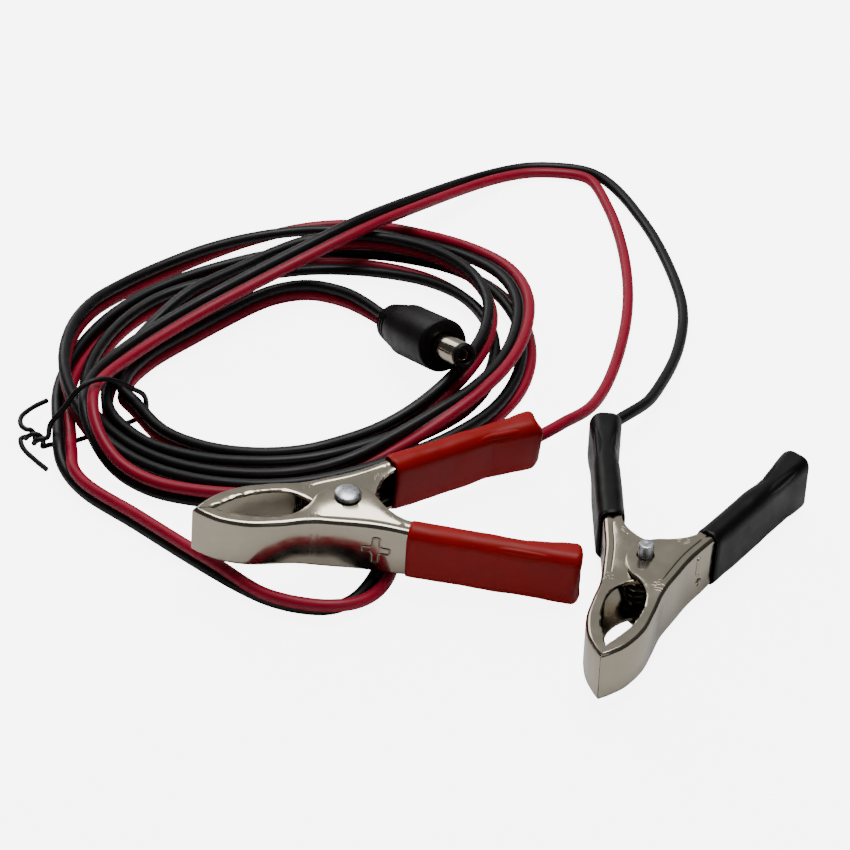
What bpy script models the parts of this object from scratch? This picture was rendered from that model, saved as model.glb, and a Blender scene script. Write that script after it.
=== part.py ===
"""Low-voltage battery lead: two sprung clips, a coiled twin cable and a barrel plug.

Metres, +Z up.  The lead lies on the plane z = 0 as it does when it is unpacked: the cable
in its tied coil at the back, the plug inside the coil, the clips in front of it.
Each clip has its own frame: x from the rivet to the jaw tips, z along the rivet, and the
stamped, moving half on the +y side.
"""
import bpy
import bmesh
from math import acos, atan2, cos, pi, radians, sin, tan
from mathutils import Matrix, Vector

MM = 0.001

# ---------------------------------------------------------------- driving sizes, in mm
FIT_GAP = 0.3            # clearance between pieces that touch

# clip, one pressed half
SHEET = 0.8              # steel thickness
CHANNEL = 11.0           # width of the channel over its flanges
BEND_RADIUS = 1.1        # outer radius of the pressed bend
JAW_REACH = 30.0         # rivet to jaw tip
JAW_LIP = 3.6            # length of the flat lip where the jaws meet
LIP_GAP = 0.2            # half of the gap between the closed lips
HANDLE_REACH = 40.0      # rivet to the end of the bare handle
HANDLE_ANGLE = 19.5      # each handle's lean from the clip's axis, degrees
HANDLE_START = 9.0       # rivet to the place where the handle runs straight
HANDLE_HEIGHT = 10.9     # handle's outer edge from the clip's axis, at its start
FLANGE = 3.6             # depth of the handle's flange
FLARE = 1.3              # how much deeper the flange is at the handle's end
FLARE_LENGTH = 9.0
EAR_REACH = 3.4          # how far an ear reaches past the rivet
EAR_JOGGLE = 0.55        # moving half's ears are pressed out, fixed half's in
EAR_RAMP_START = 8.2     # joggle full inside this distance of the rivet, gone past the next
EAR_RAMP_END = 11.0

# rivet and spring
SHANK_RADIUS = 1.45
HEAD_RADIUS = 2.65
HEAD_HEIGHT = 1.1
TAIL_LENGTH = 2.5
SPRING_WIRE = 1.0        # wire diameter
SPRING_RADIUS = 3.1      # to the middle of the wire
SPRING_TURNS = 4
SPRING_PITCH = 1.5
SPRING_LEG = 15.5        # rivet to the leg's end, along the clip

# handle sleeves
SLEEVE_WALL = 0.7
SLEEVE_START = 9.8       # rivet to the sleeve's mouth, along the clip
SLEEVE_OVERHANG = 1.4    # sleeve past the handle's end
SLEEVE_ROUND = 1.2

# barrel plug, along its axis from the front face
PLUG_RADIUS = 5.8
PLUG_LENGTH = 24.0
PLUG_STEP = 15.5         # front face to the step where the tail starts
PLUG_TAIL_RADIUS = 4.1
GROOVE_COUNT = 3
GROOVE_WIDTH = 0.8
GROOVE_DEPTH = 0.45
SOCKET_DEPTH = 6.0       # hole in the body that holds the barrel
BARREL_RADIUS = 2.75
BARREL_LENGTH = 9.5      # barrel in front of the body
BARREL_WALL = 0.35
LINER_WALL = 0.5
LINER_PROUD = 0.3
CONTACT_BORE = 1.05      # radius of the hole that takes the centre pin
CONTACT_WALL = 0.25

# twin cable
WIRE = 2.3               # diameter of one insulated conductor
TWIN_STEP = 2.7          # middle to middle of the two conductors
CORE = 1.3               # diameter of the bare stranded core
CORE_LENGTH = 5.4
FERRULE_RADIUS = 1.25
FERRULE_LENGTH = 4.2
WIRE_SEAT = HANDLE_REACH - 7.0           # rivet to the end of the insulation, along the clip
SEAT_RUN = (4.0, 9.6)    # from there to two more places on the wire, the last outside the handle
LEVEL = 2.65             # middle of the twin on the table, one conductor above the other
STOREY = 5.4             # rise of a twin that lies on another
SPAN_STEPS = 3           # steps between two reaches of the coil
JOIN = 5.0               # straight run of the twin at each end of the coil

# tie round the bundle, on the line of the coil's first reach
TIE_WIRE = 1.1
TIE_LIFT = 1.35          # the tie under the bundle lifts it this much

# ---------------------------------------------------------------- places, in mm and degrees
# Everything stands on one empty, so that the two clips' box is centred over the origin.
LEAD_PLACE = (-16.07, 49.51, 0.0)
RED_CLIP_PLACE = (-15.4, -44.2, 10.95)
RED_CLIP_TURN = (191.3, 4.4, -3.65)      # heading, jaws raised, roll
BLACK_CLIP_PLACE = (41.5, -58.65, 7.95)
BLACK_CLIP_TURN = (-109.75, 1.85, -0.3)
PLUG_FRONT = (3.9, 12.4, 11.7)
PLUG_HEADING = -60.3
PLUG_RAISED = 18.5

# The coil has four turns.  Its reach from the middle is given every 45 degrees from the tie.
COIL_MIDDLE = (-26.0, 22.0)
COIL_START = 211.0
COIL_REACHES = (40.9, 37.8, 32.6, 37.4, 43.0, 38.6, 28.7, 32.3,
                46.8, 40.8, 36.5, 40.7, 41.1, 35.4, 34.6, 42.5,
                50.0, 44.9, 39.6, 44.2, 51.6, 51.9, 47.2, 49.6,
                53.1, 48.4, 43.4, 47.4, 48.4, 41.3, 38.5, 45.9,
                57.3)
REACH_BEFORE = 28.0      # where the twin comes from and goes to, one step outside the coil
REACH_AFTER = 70.0
# A rise starts, is full, starts to end and has ended at these angles from the tie.
COIL_RISES = ((87, 137, 300, 353, STOREY), (785, 841, 880, 935, STOREY), (1006, 1052, 1059, 1095, STOREY))
TIE_SPAN = (5, 22)       # the tie's lift is full, and has ended, this many degrees from it
COIL_LEANS = ((70, 150, 200, 250, 20), (500, 585, 610, 660, 90), (780, 850, 930, 1010, 110),
              (1190, 1230, 1300, 1340, 50), (1370, 1460, 1500, 1510, -75))

# Free stretches: x, y, z of the twin's middle, and the black conductor's lean from upright
# towards the left of the run, in degrees.
PLUG_STRAIGHT = 4.5      # straight run behind the plug, where the twin leans this much
PLUG_LEAN = 20
PLUG_ROUTE = ((-16.7, 42.8, 2.8, 0), (-26.0, 46.6, 2.8, 0), (-35.1, 44.3, 2.7, 0), (-43.5, 37.4, 2.6, 0),
              (-51.6, 29.3, 2.6, 0), (-58.8, 21.5, 2.7, 0), (-63.3, 13.2, 3.3, 0))
CLIP_ROUTE = ((-72.5, -19.7, 3.5, -160), (-67.8, -25.9, 2.8, -180), (-58.8, -33.3, 2.6, -180),
              (-48.5, -42.6, 2.7, -180), (-37.9, -51.6, 2.7, -180), (-30.0, -57.0, 2.7, -180),
              (-22.9, -59.4, 2.7, -182), (-17.2, -59.5, 2.6, -195), (-12.4, -56.9, 2.2, -230),
              (-9.2, -52.4, 1.9, -262), (-7.6, -46.8, 1.7, -270), (-8.0, -40.8, 1.7, -270),
              (-11.4, -34.6, 2.0, -245), (-17.6, -30.9, 2.5, -200),
              (-27.5, -28.6, 2.7, -180), (-41.6, -27.5, 2.6, -180), (-54.0, -24.9, 3.0, -180),
              (-62.6, -20.3, 4.9, -185), (-67.7, -13.6, 8.6, -200), (-69.7, -5.5, 11.2, -230),
              (-69.1, 3.2, 9.8, -262), (-65.8, 11.9, 8.3, -280), (-58.5, 21.8, 8.2, -290),
              (-47.5, 32.4, 9.2, -290), (-35.1, 41.5, 11.2, -290), (-24.3, 49.2, 12.9, -290),
              (-15.3, 57.1, 13.2, -290), (-7.3, 66.3, 11.4, -285), (0.4, 76.7, 8.3, -280),
              (8.3, 87.3, 5.0, -275), (16.6, 95.9, 2.6, -270), (25.2, 100.7, 1.5, -270),
              (33.2, 101.0, 1.3, -270), (40.7, 98.7, 1.3, -270))
FORK_AFTER = (45.0, 91.0, 1.3, -270)     # only sets the twin's direction at the fork
RED_LEAD = ((42.7, 89.4, 1.3), (45.0, 77.5, 1.3), (46.3, 62.9, 1.3), (46.2, 48.0, 1.3), (44.6, 34.0, 1.3),
            (41.4, 19.0, 2.0), (37.8, 6.8, 3.5), (34.0, -2.0, 5.5), (29.3, -8.6, 7.6))
BLACK_LEAD = ((46.6, 91.7, 1.4), (50.4, 82.0, 1.3), (53.9, 70.5, 1.3), (56.6, 57.0, 1.3), (58.0, 44.4, 1.3),
              (57.4, 34.0, 1.3), (54.8, 22.0, 2.0), (50.9, 10.6, 3.5), (47.0, 1.6, 5.0), (42.4, -4.6, 6.4))
# The tie's loop round the bundle: sideways from its middle, and height.
TIE_MIDDLE = (-68.3, -3.4)
TIE_LOOP = ((-11.6, 4.2), (-10.7, 7.2), (-7.4, 10.0), (-4.6, 12.9), (-1.5, 14.2), (1.6, 14.0), (4.6, 12.3),
            (7.8, 9.3), (10.4, 6.6), (10.9, 3.8), (10.3, 1.8), (7.9, 0.8), (0.0, 0.7), (-8.0, 0.8),
            (-11.2, 1.9))

# ---------------------------------------------------------------- colours (linear), roughness, metallic
NICKEL = ("nickel_plated_steel", (0.42, 0.39, 0.34), 0.28, 1.0)
ZINC = ("zinc_plated_steel", (0.55, 0.55, 0.56), 0.3, 1.0)
SPRING_STEEL = ("spring_steel", (0.25, 0.23, 0.2), 0.4, 1.0)
RED_PVC = ("red_pvc", (0.48, 0.03, 0.025), 0.5, 0.0)
BLACK_PVC = ("black_pvc", (0.02, 0.02, 0.022), 0.5, 0.0)
COPPER = ("tinned_copper", (0.7, 0.5, 0.35), 0.35, 1.0)
BLACK_MOULDING = ("black_moulded_plastic", (0.015, 0.015, 0.016), 0.55, 0.0)


# ================================================================ small helpers
def clear_scene():
    for obj in list(bpy.data.objects):
        bpy.data.objects.remove(obj, do_unlink=True)


def material(spec):
    name, colour, roughness, metallic = spec
    mat = bpy.data.materials.get(name)
    if mat is None:
        mat = bpy.data.materials.new(name)
        mat.use_nodes = True
        shader = mat.node_tree.nodes["Principled BSDF"]
        shader.inputs["Base Color"].default_value = (*colour, 1.0)
        shader.inputs["Roughness"].default_value = roughness
        shader.inputs["Metallic"].default_value = metallic
    return mat


def add_object(name, data, spec, parent=None):
    obj = bpy.data.objects.new(name, data)
    bpy.context.scene.collection.objects.link(obj)
    if spec is not None:
        data.materials.append(material(spec))
    obj.parent = parent
    return obj


def mesh_object(name, bm, spec, parent=None, smooth_angle=40.0):
    bmesh.ops.recalc_face_normals(bm, faces=bm.faces[:])
    mesh = bpy.data.meshes.new(name)
    bm.to_mesh(mesh)
    bm.free()
    mesh.shade_smooth()
    mesh.set_sharp_from_angle(angle=radians(smooth_angle))
    return add_object(name, mesh, spec, parent)


def cutter(name, bm, parent):
    obj = mesh_object(name, bm, None, parent)
    obj.hide_render = True
    obj.display_type = "WIRE"
    return obj


def cut(target, tool):
    mod = target.modifiers.new(tool.name, "BOOLEAN")
    mod.operation = "DIFFERENCE"
    mod.solver = "EXACT"
    mod.object = tool


def smooth_line(points, steps, before=None, after=None):
    """Catmull-Rom curve through the points; 'before' and 'after' only set its end directions."""
    pts = [Vector(p) for p in points]
    first = 2 * pts[0] - pts[1] if before is None else Vector(before)
    last = 2 * pts[-1] - pts[-2] if after is None else Vector(after)
    ends = [first] + pts + [last]
    line = []
    for a, b, c, d in zip(ends, ends[1:], ends[2:], ends[3:]):
        for step in range(steps):
            t = step / steps
            line.append(0.5 * (2 * b + (c - a) * t + (2 * a - 5 * b + 4 * c - d) * t ** 2
                               + (3 * b - 3 * c + d - a) * t ** 3))
    line.append(pts[-1])
    return line


def turned(profile, steps):
    """Solid of revolution about z from (radius, height) points."""
    bm = bmesh.new()
    verts = [bm.verts.new((r * MM, 0, z * MM)) for r, z in profile]
    edges = [bm.edges.new(pair) for pair in zip(verts, verts[1:])]
    bmesh.ops.spin(bm, geom=verts + edges, cent=(0, 0, 0), axis=(0, 0, 1), angle=2 * pi,
                   steps=steps, use_merge=True)
    bmesh.ops.remove_doubles(bm, verts=bm.verts[:], dist=1e-6)
    return bm


def around(bm, section, steps):
    """Closed ring of a (radius, height) section that stays clear of the z axis."""
    loops = []
    for step in range(steps):
        angle = 2 * pi * step / steps
        loops.append([Vector((r * cos(angle), r * sin(angle), z)) for r, z in section])
    loft(bm, loops + loops[:1], False)
    bmesh.ops.remove_doubles(bm, verts=bm.verts[:], dist=1e-6)


def tube(name, line, diameter, resolution, spec, parent=None):
    """Round wire along a line of points in mm."""
    curve = bpy.data.curves.new(name, "CURVE")
    curve.dimensions = "3D"
    curve.bevel_depth = diameter / 2 * MM
    curve.bevel_resolution = resolution
    curve.use_fill_caps = True
    spline = curve.splines.new("POLY")
    spline.points.add(len(line) - 1)
    for slot, point in zip(spline.points, line):
        slot.co = (*(Vector(point) * MM), 1.0)
        slot.tilt = 0.0
    spline.use_smooth = True
    return add_object(name, curve, spec, parent)


def frame_at(place, turn):
    """A clip's frame in mm: heading about z, jaws raised, roll about the clip's axis."""
    heading, raised, roll = (radians(angle) for angle in turn)
    return (Matrix.Translation(Vector(place)) @ Matrix.Rotation(heading, 4, "Z")
            @ Matrix.Rotation(-raised, 4, "Y") @ Matrix.Rotation(roll, 4, "X"))


def placed_empty(name, frame, parent=None):
    """Empty that holds a group of pieces at a frame given in mm."""
    empty = bpy.data.objects.new(name, None)
    bpy.context.scene.collection.objects.link(empty)
    empty.parent = parent
    place, turn, _ = frame.decompose()
    empty.rotation_mode = "QUATERNION"
    empty.location = place * MM
    empty.rotation_quaternion = turn
    return empty


def aimed(obj, place, direction):
    """Put an object at a place in mm with its z axis along the direction."""
    obj.location = Vector(place) * MM
    obj.rotation_mode = "QUATERNION"
    obj.rotation_quaternion = Vector(direction).to_track_quat("Z", "Y")
    return obj


# ================================================================ clip: one pressed half
def handle_point(along, depth):
    """Point on the +y handle: 'along' behind the rivet, 'depth' in from its outer edge."""
    lean = radians(HANDLE_ANGLE)
    rise = HANDLE_HEIGHT + (along - HANDLE_START) * tan(lean)
    return (-along - depth * sin(lean), rise - depth * cos(lean))


def half_ribs():
    """Outer and inner edge of the half's flanges, as pairs of points from tip to handle end."""
    ribs = [((JAW_REACH, LIP_GAP), (JAW_REACH - JAW_LIP, LIP_GAP)),
            ((JAW_REACH - 1.7, 1.7), (JAW_REACH - 5.4, 1.0)),
            ((JAW_REACH - 5.0, 4.0), (JAW_REACH - 8.4, 2.4)),
            ((JAW_REACH - 10.0, 5.7), (18.4, 3.3)),
            ((14.8, 6.1), (14.2, 3.7)),
            ((10.0, 6.2), (10.3, 3.1)),
            ((7.0, 6.6), (7.6, 1.2)),
            ((4.6, 7.1), (5.8, -1.2)),
            ((2.4, 7.6), (2.8, -EAR_REACH + 0.3)),
            ((0.0, 8.1), (-0.2, -EAR_REACH)),
            ((-2.4, 8.7), (-3.2, -EAR_REACH + 0.9)),
            ((-4.6, 9.4), (-5.4, 0.2)),
            ((-6.6, 10.1), (-6.8, 3.5)),
            (handle_point(HANDLE_START, 0), handle_point(HANDLE_START - 1.2, FLANGE + 0.5)),
            (handle_point(HANDLE_START + 3, 0), handle_point(HANDLE_START + 3, FLANGE))]
    flare_start = HANDLE_REACH - FLARE_LENGTH
    for share, extra in ((0.0, 0.0), (0.35, 0.45), (0.7, 0.85), (1.0, 1.0)):
        along = flare_start + share * FLARE_LENGTH
        ribs.append((handle_point(along, 0), handle_point(along, FLANGE + FLARE * extra)))
    return ribs


def ear_spread(along, joggle):
    """How far each flange is pressed out (or in) at a place along the clip."""
    share = (EAR_RAMP_END - abs(along)) / (EAR_RAMP_END - EAR_RAMP_START)
    return joggle * min(max(share, 0.0), 1.0)


def u_section(outer, inner, normal, joggle, side):
    """Closed U-shaped section between an outer and an inner edge point."""
    inward = (inner - outer).normalized()
    depth = (inner - outer).length
    wall = SHEET / max(abs(inward.dot(normal)), 0.5)
    radius = min(BEND_RADIUS, depth * 0.6)
    half = CHANNEL / 2
    corner = [(radius * (1 - sin(a)), half - radius * (1 - cos(a)))
              for a in (0, pi / 6, pi / 3, pi / 2)]
    outside = [(depth, half)] + corner + [(d, -z) for d, z in reversed(corner)] + [(depth, -half)]
    crook = [(wall + 0.5, half - SHEET), (wall, half - SHEET - 0.5)]
    inside = [(depth, half - SHEET)] + crook + [(d, -z) for d, z in reversed(crook)] + [(depth, SHEET - half)]
    loop = []
    for d, z in outside + inside[::-1]:
        place = outer + inward * d
        spread = ear_spread(place.x, joggle)
        z += spread if z > 0 else -spread
        loop.append(Vector((place.x, side * place.y, z)))
    return loop


def loft(bm, loops, closed_ends=True):
    """Skin a row of closed loops with equal point counts."""
    rows = [[bm.verts.new(point * MM) for point in loop] for loop in loops]
    count = len(rows[0])
    for near, far in zip(rows, rows[1:]):
        for i in range(count):
            j = (i + 1) % count
            bm.faces.new((near[i], near[j], far[j], far[i]))
    if closed_ends:
        bm.faces.new(rows[0][::-1])
        bm.faces.new(rows[-1])
    return rows


def pressed_half(name, side, joggle, parent, hole):
    """U-section half: jaw, ear and handle in one pressing.  side is +1 or -1."""
    ribs = half_ribs()
    outer = smooth_line([rib[0] for rib in ribs], 2)
    inner = smooth_line([rib[1] for rib in ribs], 2)
    loops = []
    for i, (p, q) in enumerate(zip(outer, inner)):
        along = outer[min(i + 1, len(outer) - 1)] - outer[max(i - 1, 0)]
        normal = Vector((along.y, -along.x)).normalized()
        loops.append(u_section(p, q, normal, joggle, side))
    bm = bmesh.new()
    loft(bm, loops)
    half = mesh_object(name, bm, NICKEL, parent, 35.0)
    cut(half, hole)
    return half


# ================================================================ clip: rivet, spring, sleeves
def rivet(name, head_up, parent):
    """Domed head, plain shank through four flanges, and a chamfered tail."""
    seat = CHANNEL / 2 + EAR_JOGGLE + FIT_GAP
    head = [(0, seat + HEAD_HEIGHT), (HEAD_RADIUS * 0.55, seat + HEAD_HEIGHT * 0.95),
            (HEAD_RADIUS * 0.86, seat + HEAD_HEIGHT * 0.72), (HEAD_RADIUS, seat + HEAD_HEIGHT * 0.3),
            (HEAD_RADIUS, seat), (SHANK_RADIUS, seat)]
    tail_end = -seat - TAIL_LENGTH
    tail = [(SHANK_RADIUS, tail_end + 0.3), (SHANK_RADIUS - 0.3, tail_end), (0, tail_end)]
    bm = turned(head + tail, 20)
    obj = mesh_object(name, bm, ZINC, parent)
    if not head_up:
        obj.rotation_euler = (pi, 0, 0)
    return obj


def spring(name, parent):
    """Torsion spring round the rivet, its legs pushing the two handles apart."""
    web = handle_point(SPRING_LEG, SHEET / cos(radians(HANDLE_ANGLE)) + FIT_GAP + SPRING_WIRE / 2)
    far = Vector((web[0], web[1]))
    reach = far.length
    swing = acos(SPRING_RADIUS / reach)
    leave = atan2(far.y, far.x) - swing
    total = 2 * pi * SPRING_TURNS + 2 * leave
    steps = round(total / (2 * pi) * 10)
    rise = SPRING_PITCH * total / (2 * pi)
    line = [Vector((far.x, -far.y, -rise / 2))]
    for i in range(steps + 1):
        angle = -leave + total * i / steps
        line.append(Vector((SPRING_RADIUS * cos(angle), SPRING_RADIUS * sin(angle),
                            rise * (i / steps - 0.5))))
    line.append(Vector((far.x, far.y, rise / 2)))
    return tube(name, line, SPRING_WIRE, 1, SPRING_STEEL, parent)


def rounded_loop(centre, across, width, height, radius):
    """Rounded rectangle: width along 'across' in the plan, height along z; 16 points."""
    loop = []
    for quadrant, (sx, sz) in enumerate(((1, 1), (-1, 1), (-1, -1), (1, -1))):
        for step in range(4):
            angle = pi / 2 * (quadrant + step / 3)
            dx = sx * (width / 2 - radius) + radius * cos(angle)
            dz = sz * (height / 2 - radius) + radius * sin(angle)
            loop.append(Vector((centre.x + across.x * dx, centre.y + across.y * dx, dz)))
    return loop


def sleeve(name, side, spec, parent):
    """Slip-on PVC sleeve: a soft rectangular tube round the bare handle, flared with it."""
    stations = [SLEEVE_START, SLEEVE_START + 2.5, 20.0, HANDLE_REACH - FLARE_LENGTH - 2.0,
                HANDLE_REACH - FLARE_LENGTH * 0.65, HANDLE_REACH - FLARE_LENGTH * 0.3,
                HANDLE_REACH, HANDLE_REACH + SLEEVE_OVERHANG]
    outer_loops = []
    inner_loops = []
    across = Vector((sin(radians(HANDLE_ANGLE)), side * cos(radians(HANDLE_ANGLE))))
    for station in stations:
        share = (station - HANDLE_REACH + FLARE_LENGTH) / FLARE_LENGTH
        depth = FLANGE + FLARE * min(max(share, 0.0), 1.0) ** 0.8
        mid_x, mid_y = handle_point(station, depth / 2)
        centre = Vector((mid_x, side * mid_y))
        room = 2 * FIT_GAP
        skin = room + 2 * SLEEVE_WALL
        lip = 0.25 if station in (stations[0], stations[-1]) else 0.0
        outside = (depth + skin - lip, CHANNEL + skin - lip)
        outer_loops.append(rounded_loop(centre, across, *outside, SLEEVE_ROUND))
        inner_loops.append(rounded_loop(centre, across, depth + room, CHANNEL + room, 0.4))
    bm = bmesh.new()
    outside = loft(bm, outer_loops, False)
    inside = loft(bm, inner_loops, False)
    for rim_out, rim_in in ((outside[0], inside[0]), (outside[-1], inside[-1])):
        count = len(rim_out)
        for i in range(count):
            j = (i + 1) % count
            bm.faces.new((rim_out[i], rim_out[j], rim_in[j], rim_in[i]))
    return mesh_object(name, bm, spec, parent, 50.0)


def wire_seat(along):
    """Place of the wire's axis inside the fixed handle, in the clip's frame."""
    x, y = handle_point(along, SHEET + FIT_GAP + FERRULE_RADIUS)
    return Vector((x, -y, 0))


def joint(colour, origin):
    """Bare core past the insulation, and the ferrule crimped round it, inside the fixed handle."""
    inward = (wire_seat(WIRE_SEAT - 1) - wire_seat(WIRE_SEAT)).normalized()
    start = wire_seat(WIRE_SEAT) + FIT_GAP * inward
    tube(colour + "_core", [start, start + CORE_LENGTH * inward], CORE, 2, COPPER, origin)
    bore = CORE / 2 + FIT_GAP
    ring = bmesh.new()
    wall = [(bore, 0), (FERRULE_RADIUS, 0), (FERRULE_RADIUS, FERRULE_LENGTH), (bore, FERRULE_LENGTH)]
    around(ring, wall, 16)
    ferrule = mesh_object(colour + "_ferrule", ring, ZINC, origin)
    aimed(ferrule, start + FIT_GAP * inward, inward)


def clip(colour, frame, head_up, sleeve_spec, parent):
    """A whole clip on an empty that sits on its rivet's axis."""
    origin = placed_empty(colour + "_clip", frame, parent)
    bore = turned([(0, 9.0), (SHANK_RADIUS + FIT_GAP, 9.0), (SHANK_RADIUS + FIT_GAP, -9.0), (0, -9.0)], 20)
    hole = cutter(colour + "_rivet_hole", bore, origin)
    pressed_half(colour + "_fixed_jaw", -1, -EAR_JOGGLE, origin, hole)
    pressed_half(colour + "_moving_jaw", 1, EAR_JOGGLE, origin, hole)
    rivet(colour + "_rivet", head_up, origin)
    spring(colour + "_spring", origin)
    sleeve(colour + "_fixed_sleeve", -1, sleeve_spec, origin)
    sleeve(colour + "_moving_sleeve", 1, sleeve_spec, origin)
    joint(colour, origin)
    return origin


# ================================================================ plug
def plug(parent):
    """Moulded body, barrel, insulating liner and sprung centre contact, on one axis."""
    heading, raised = radians(PLUG_HEADING), radians(PLUG_RAISED)
    ahead = Vector((cos(raised) * cos(heading), cos(raised) * sin(heading), sin(raised)))
    grooves = []
    for i in range(GROOVE_COUNT):
        top = -PLUG_STEP - 3.4 - i * 2 * GROOVE_WIDTH
        radius = PLUG_RADIUS - 0.75 - 0.3 * i
        grooves += [(radius, top), (radius - GROOVE_DEPTH, top - 0.15),
                    (radius - GROOVE_DEPTH - 0.1, top - GROOVE_WIDTH),
                    (radius - 0.15, top - GROOVE_WIDTH - 0.15)]
    socket = BARREL_RADIUS + FIT_GAP
    profile = [(0, -SOCKET_DEPTH), (socket, -SOCKET_DEPTH), (socket, 0), (PLUG_RADIUS - 0.5, 0),
               (PLUG_RADIUS - 0.15, -0.15), (PLUG_RADIUS, -0.5), (PLUG_RADIUS, -PLUG_STEP),
               (PLUG_RADIUS - 0.3, -PLUG_STEP - 0.2)] + grooves
    profile += [(PLUG_TAIL_RADIUS, -PLUG_LENGTH + 0.9), (PLUG_TAIL_RADIUS - 0.8, -PLUG_LENGTH),
                (0, -PLUG_LENGTH)]
    pieces = [mesh_object("plug_body", turned(profile, 28), BLACK_MOULDING, parent)]
    foot = -SOCKET_DEPTH + FIT_GAP
    liner = BARREL_RADIUS - BARREL_WALL - FIT_GAP
    pin = CONTACT_BORE + CONTACT_WALL
    rings = (("plug_barrel", BARREL_RADIUS, BARREL_WALL, foot, BARREL_LENGTH, NICKEL),
             ("plug_liner", liner, LINER_WALL, foot, BARREL_LENGTH + LINER_PROUD, BLACK_MOULDING),
             ("plug_contact", pin, CONTACT_WALL, foot, BARREL_LENGTH - 1.0, COPPER))
    for name, radius, wall, low, high, spec in rings:
        bm = bmesh.new()
        lip = wall / 3
        around(bm, [(radius - wall, low), (radius, low), (radius, high - lip), (radius - lip, high),
                    (radius - wall, high)], 24)
        pieces.append(mesh_object(name, bm, spec, parent))
    for piece in pieces:
        aimed(piece, PLUG_FRONT, ahead)
    return Vector(PLUG_FRONT) - PLUG_LENGTH * ahead, ahead


# ================================================================ cable
def eased(angle, spans):
    """Sum of the smooth rises that hold at an angle, each from nothing to full and back."""
    total = 0.0
    for start, full, leave, end, amount in spans:
        share = min((angle - start) / (full - start), (end - angle) / (end - leave), 1.0)
        share = max(share, 0.0)
        total += amount * share * share * (3 - 2 * share)
    return total


def coil_line():
    """Middle of the twin round the coil's turns, with its lean, from tie to tie."""
    near, far = TIE_SPAN
    lifts = [(turn - far, turn - near, turn + near, turn + far, TIE_LIFT) for turn in range(0, 1441, 360)]
    reaches = [(reach, 0) for reach in COIL_REACHES]
    reaches = smooth_line(reaches, SPAN_STEPS, (REACH_BEFORE, 0), (REACH_AFTER, 0))
    line = []
    for i, reach in enumerate(reaches):
        angle = 45.0 * i / SPAN_STEPS
        heading = radians(COIL_START + angle)
        height = LEVEL + eased(angle, COIL_RISES) + eased(angle, lifts)
        line.append(Vector((COIL_MIDDLE[0] + reach.x * cos(heading), COIL_MIDDLE[1] + reach.x * sin(heading),
                            height, eased(angle, COIL_LEANS))))
    return line


def conductors(line):
    """The black and the red conductor's own lines, either side of the twin's middle."""
    black = []
    red = []
    for i, point in enumerate(line):
        ahead = (line[min(i + 1, len(line) - 1)] - line[max(i - 1, 0)]).xyz.normalized()
        left = Vector((-ahead.y, ahead.x, 0)).normalized()
        up = ahead.cross(left)
        up = up if up.z > 0 else -up
        lean = radians(point.w)
        step = TWIN_STEP / 2 * (cos(lean) * up + sin(lean) * left)
        black.append(point.xyz + step)
        red.append(point.xyz - step)
    return black, red


def free_stretch(head, body, tail):
    """A free stretch's points, with a straight pair at each end."""
    middle = [p for p in body if min((p - head[1]).length, (p - tail[0]).length) > 1.02 * WIRE]
    return head + middle + tail


def straight_pair(end, inward):
    """Two points one wire diameter apart, the first of them a fit gap short of the end."""
    start = end + FIT_GAP * inward
    return [start, start + WIRE * inward]


def length_of(line):
    return sum((b - a).length for a, b in zip(line, line[1:]))


def gap_between(line, other):
    """Least gap between two wires' surfaces; on one wire, between places far apart along it."""
    least = 1e9
    for i, point in enumerate(line):
        for j, (a, b) in enumerate(zip(other, other[1:])):
            if line is other and abs(i - j) < 4:
                continue
            share = min(max((point - a).dot(b - a) / (b - a).length_squared, 0.0), 1.0)
            least = min(least, (point - a.lerp(b, share)).length)
    return least - WIRE


def with_lean(point, lean):
    return Vector((*point, lean))


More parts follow.
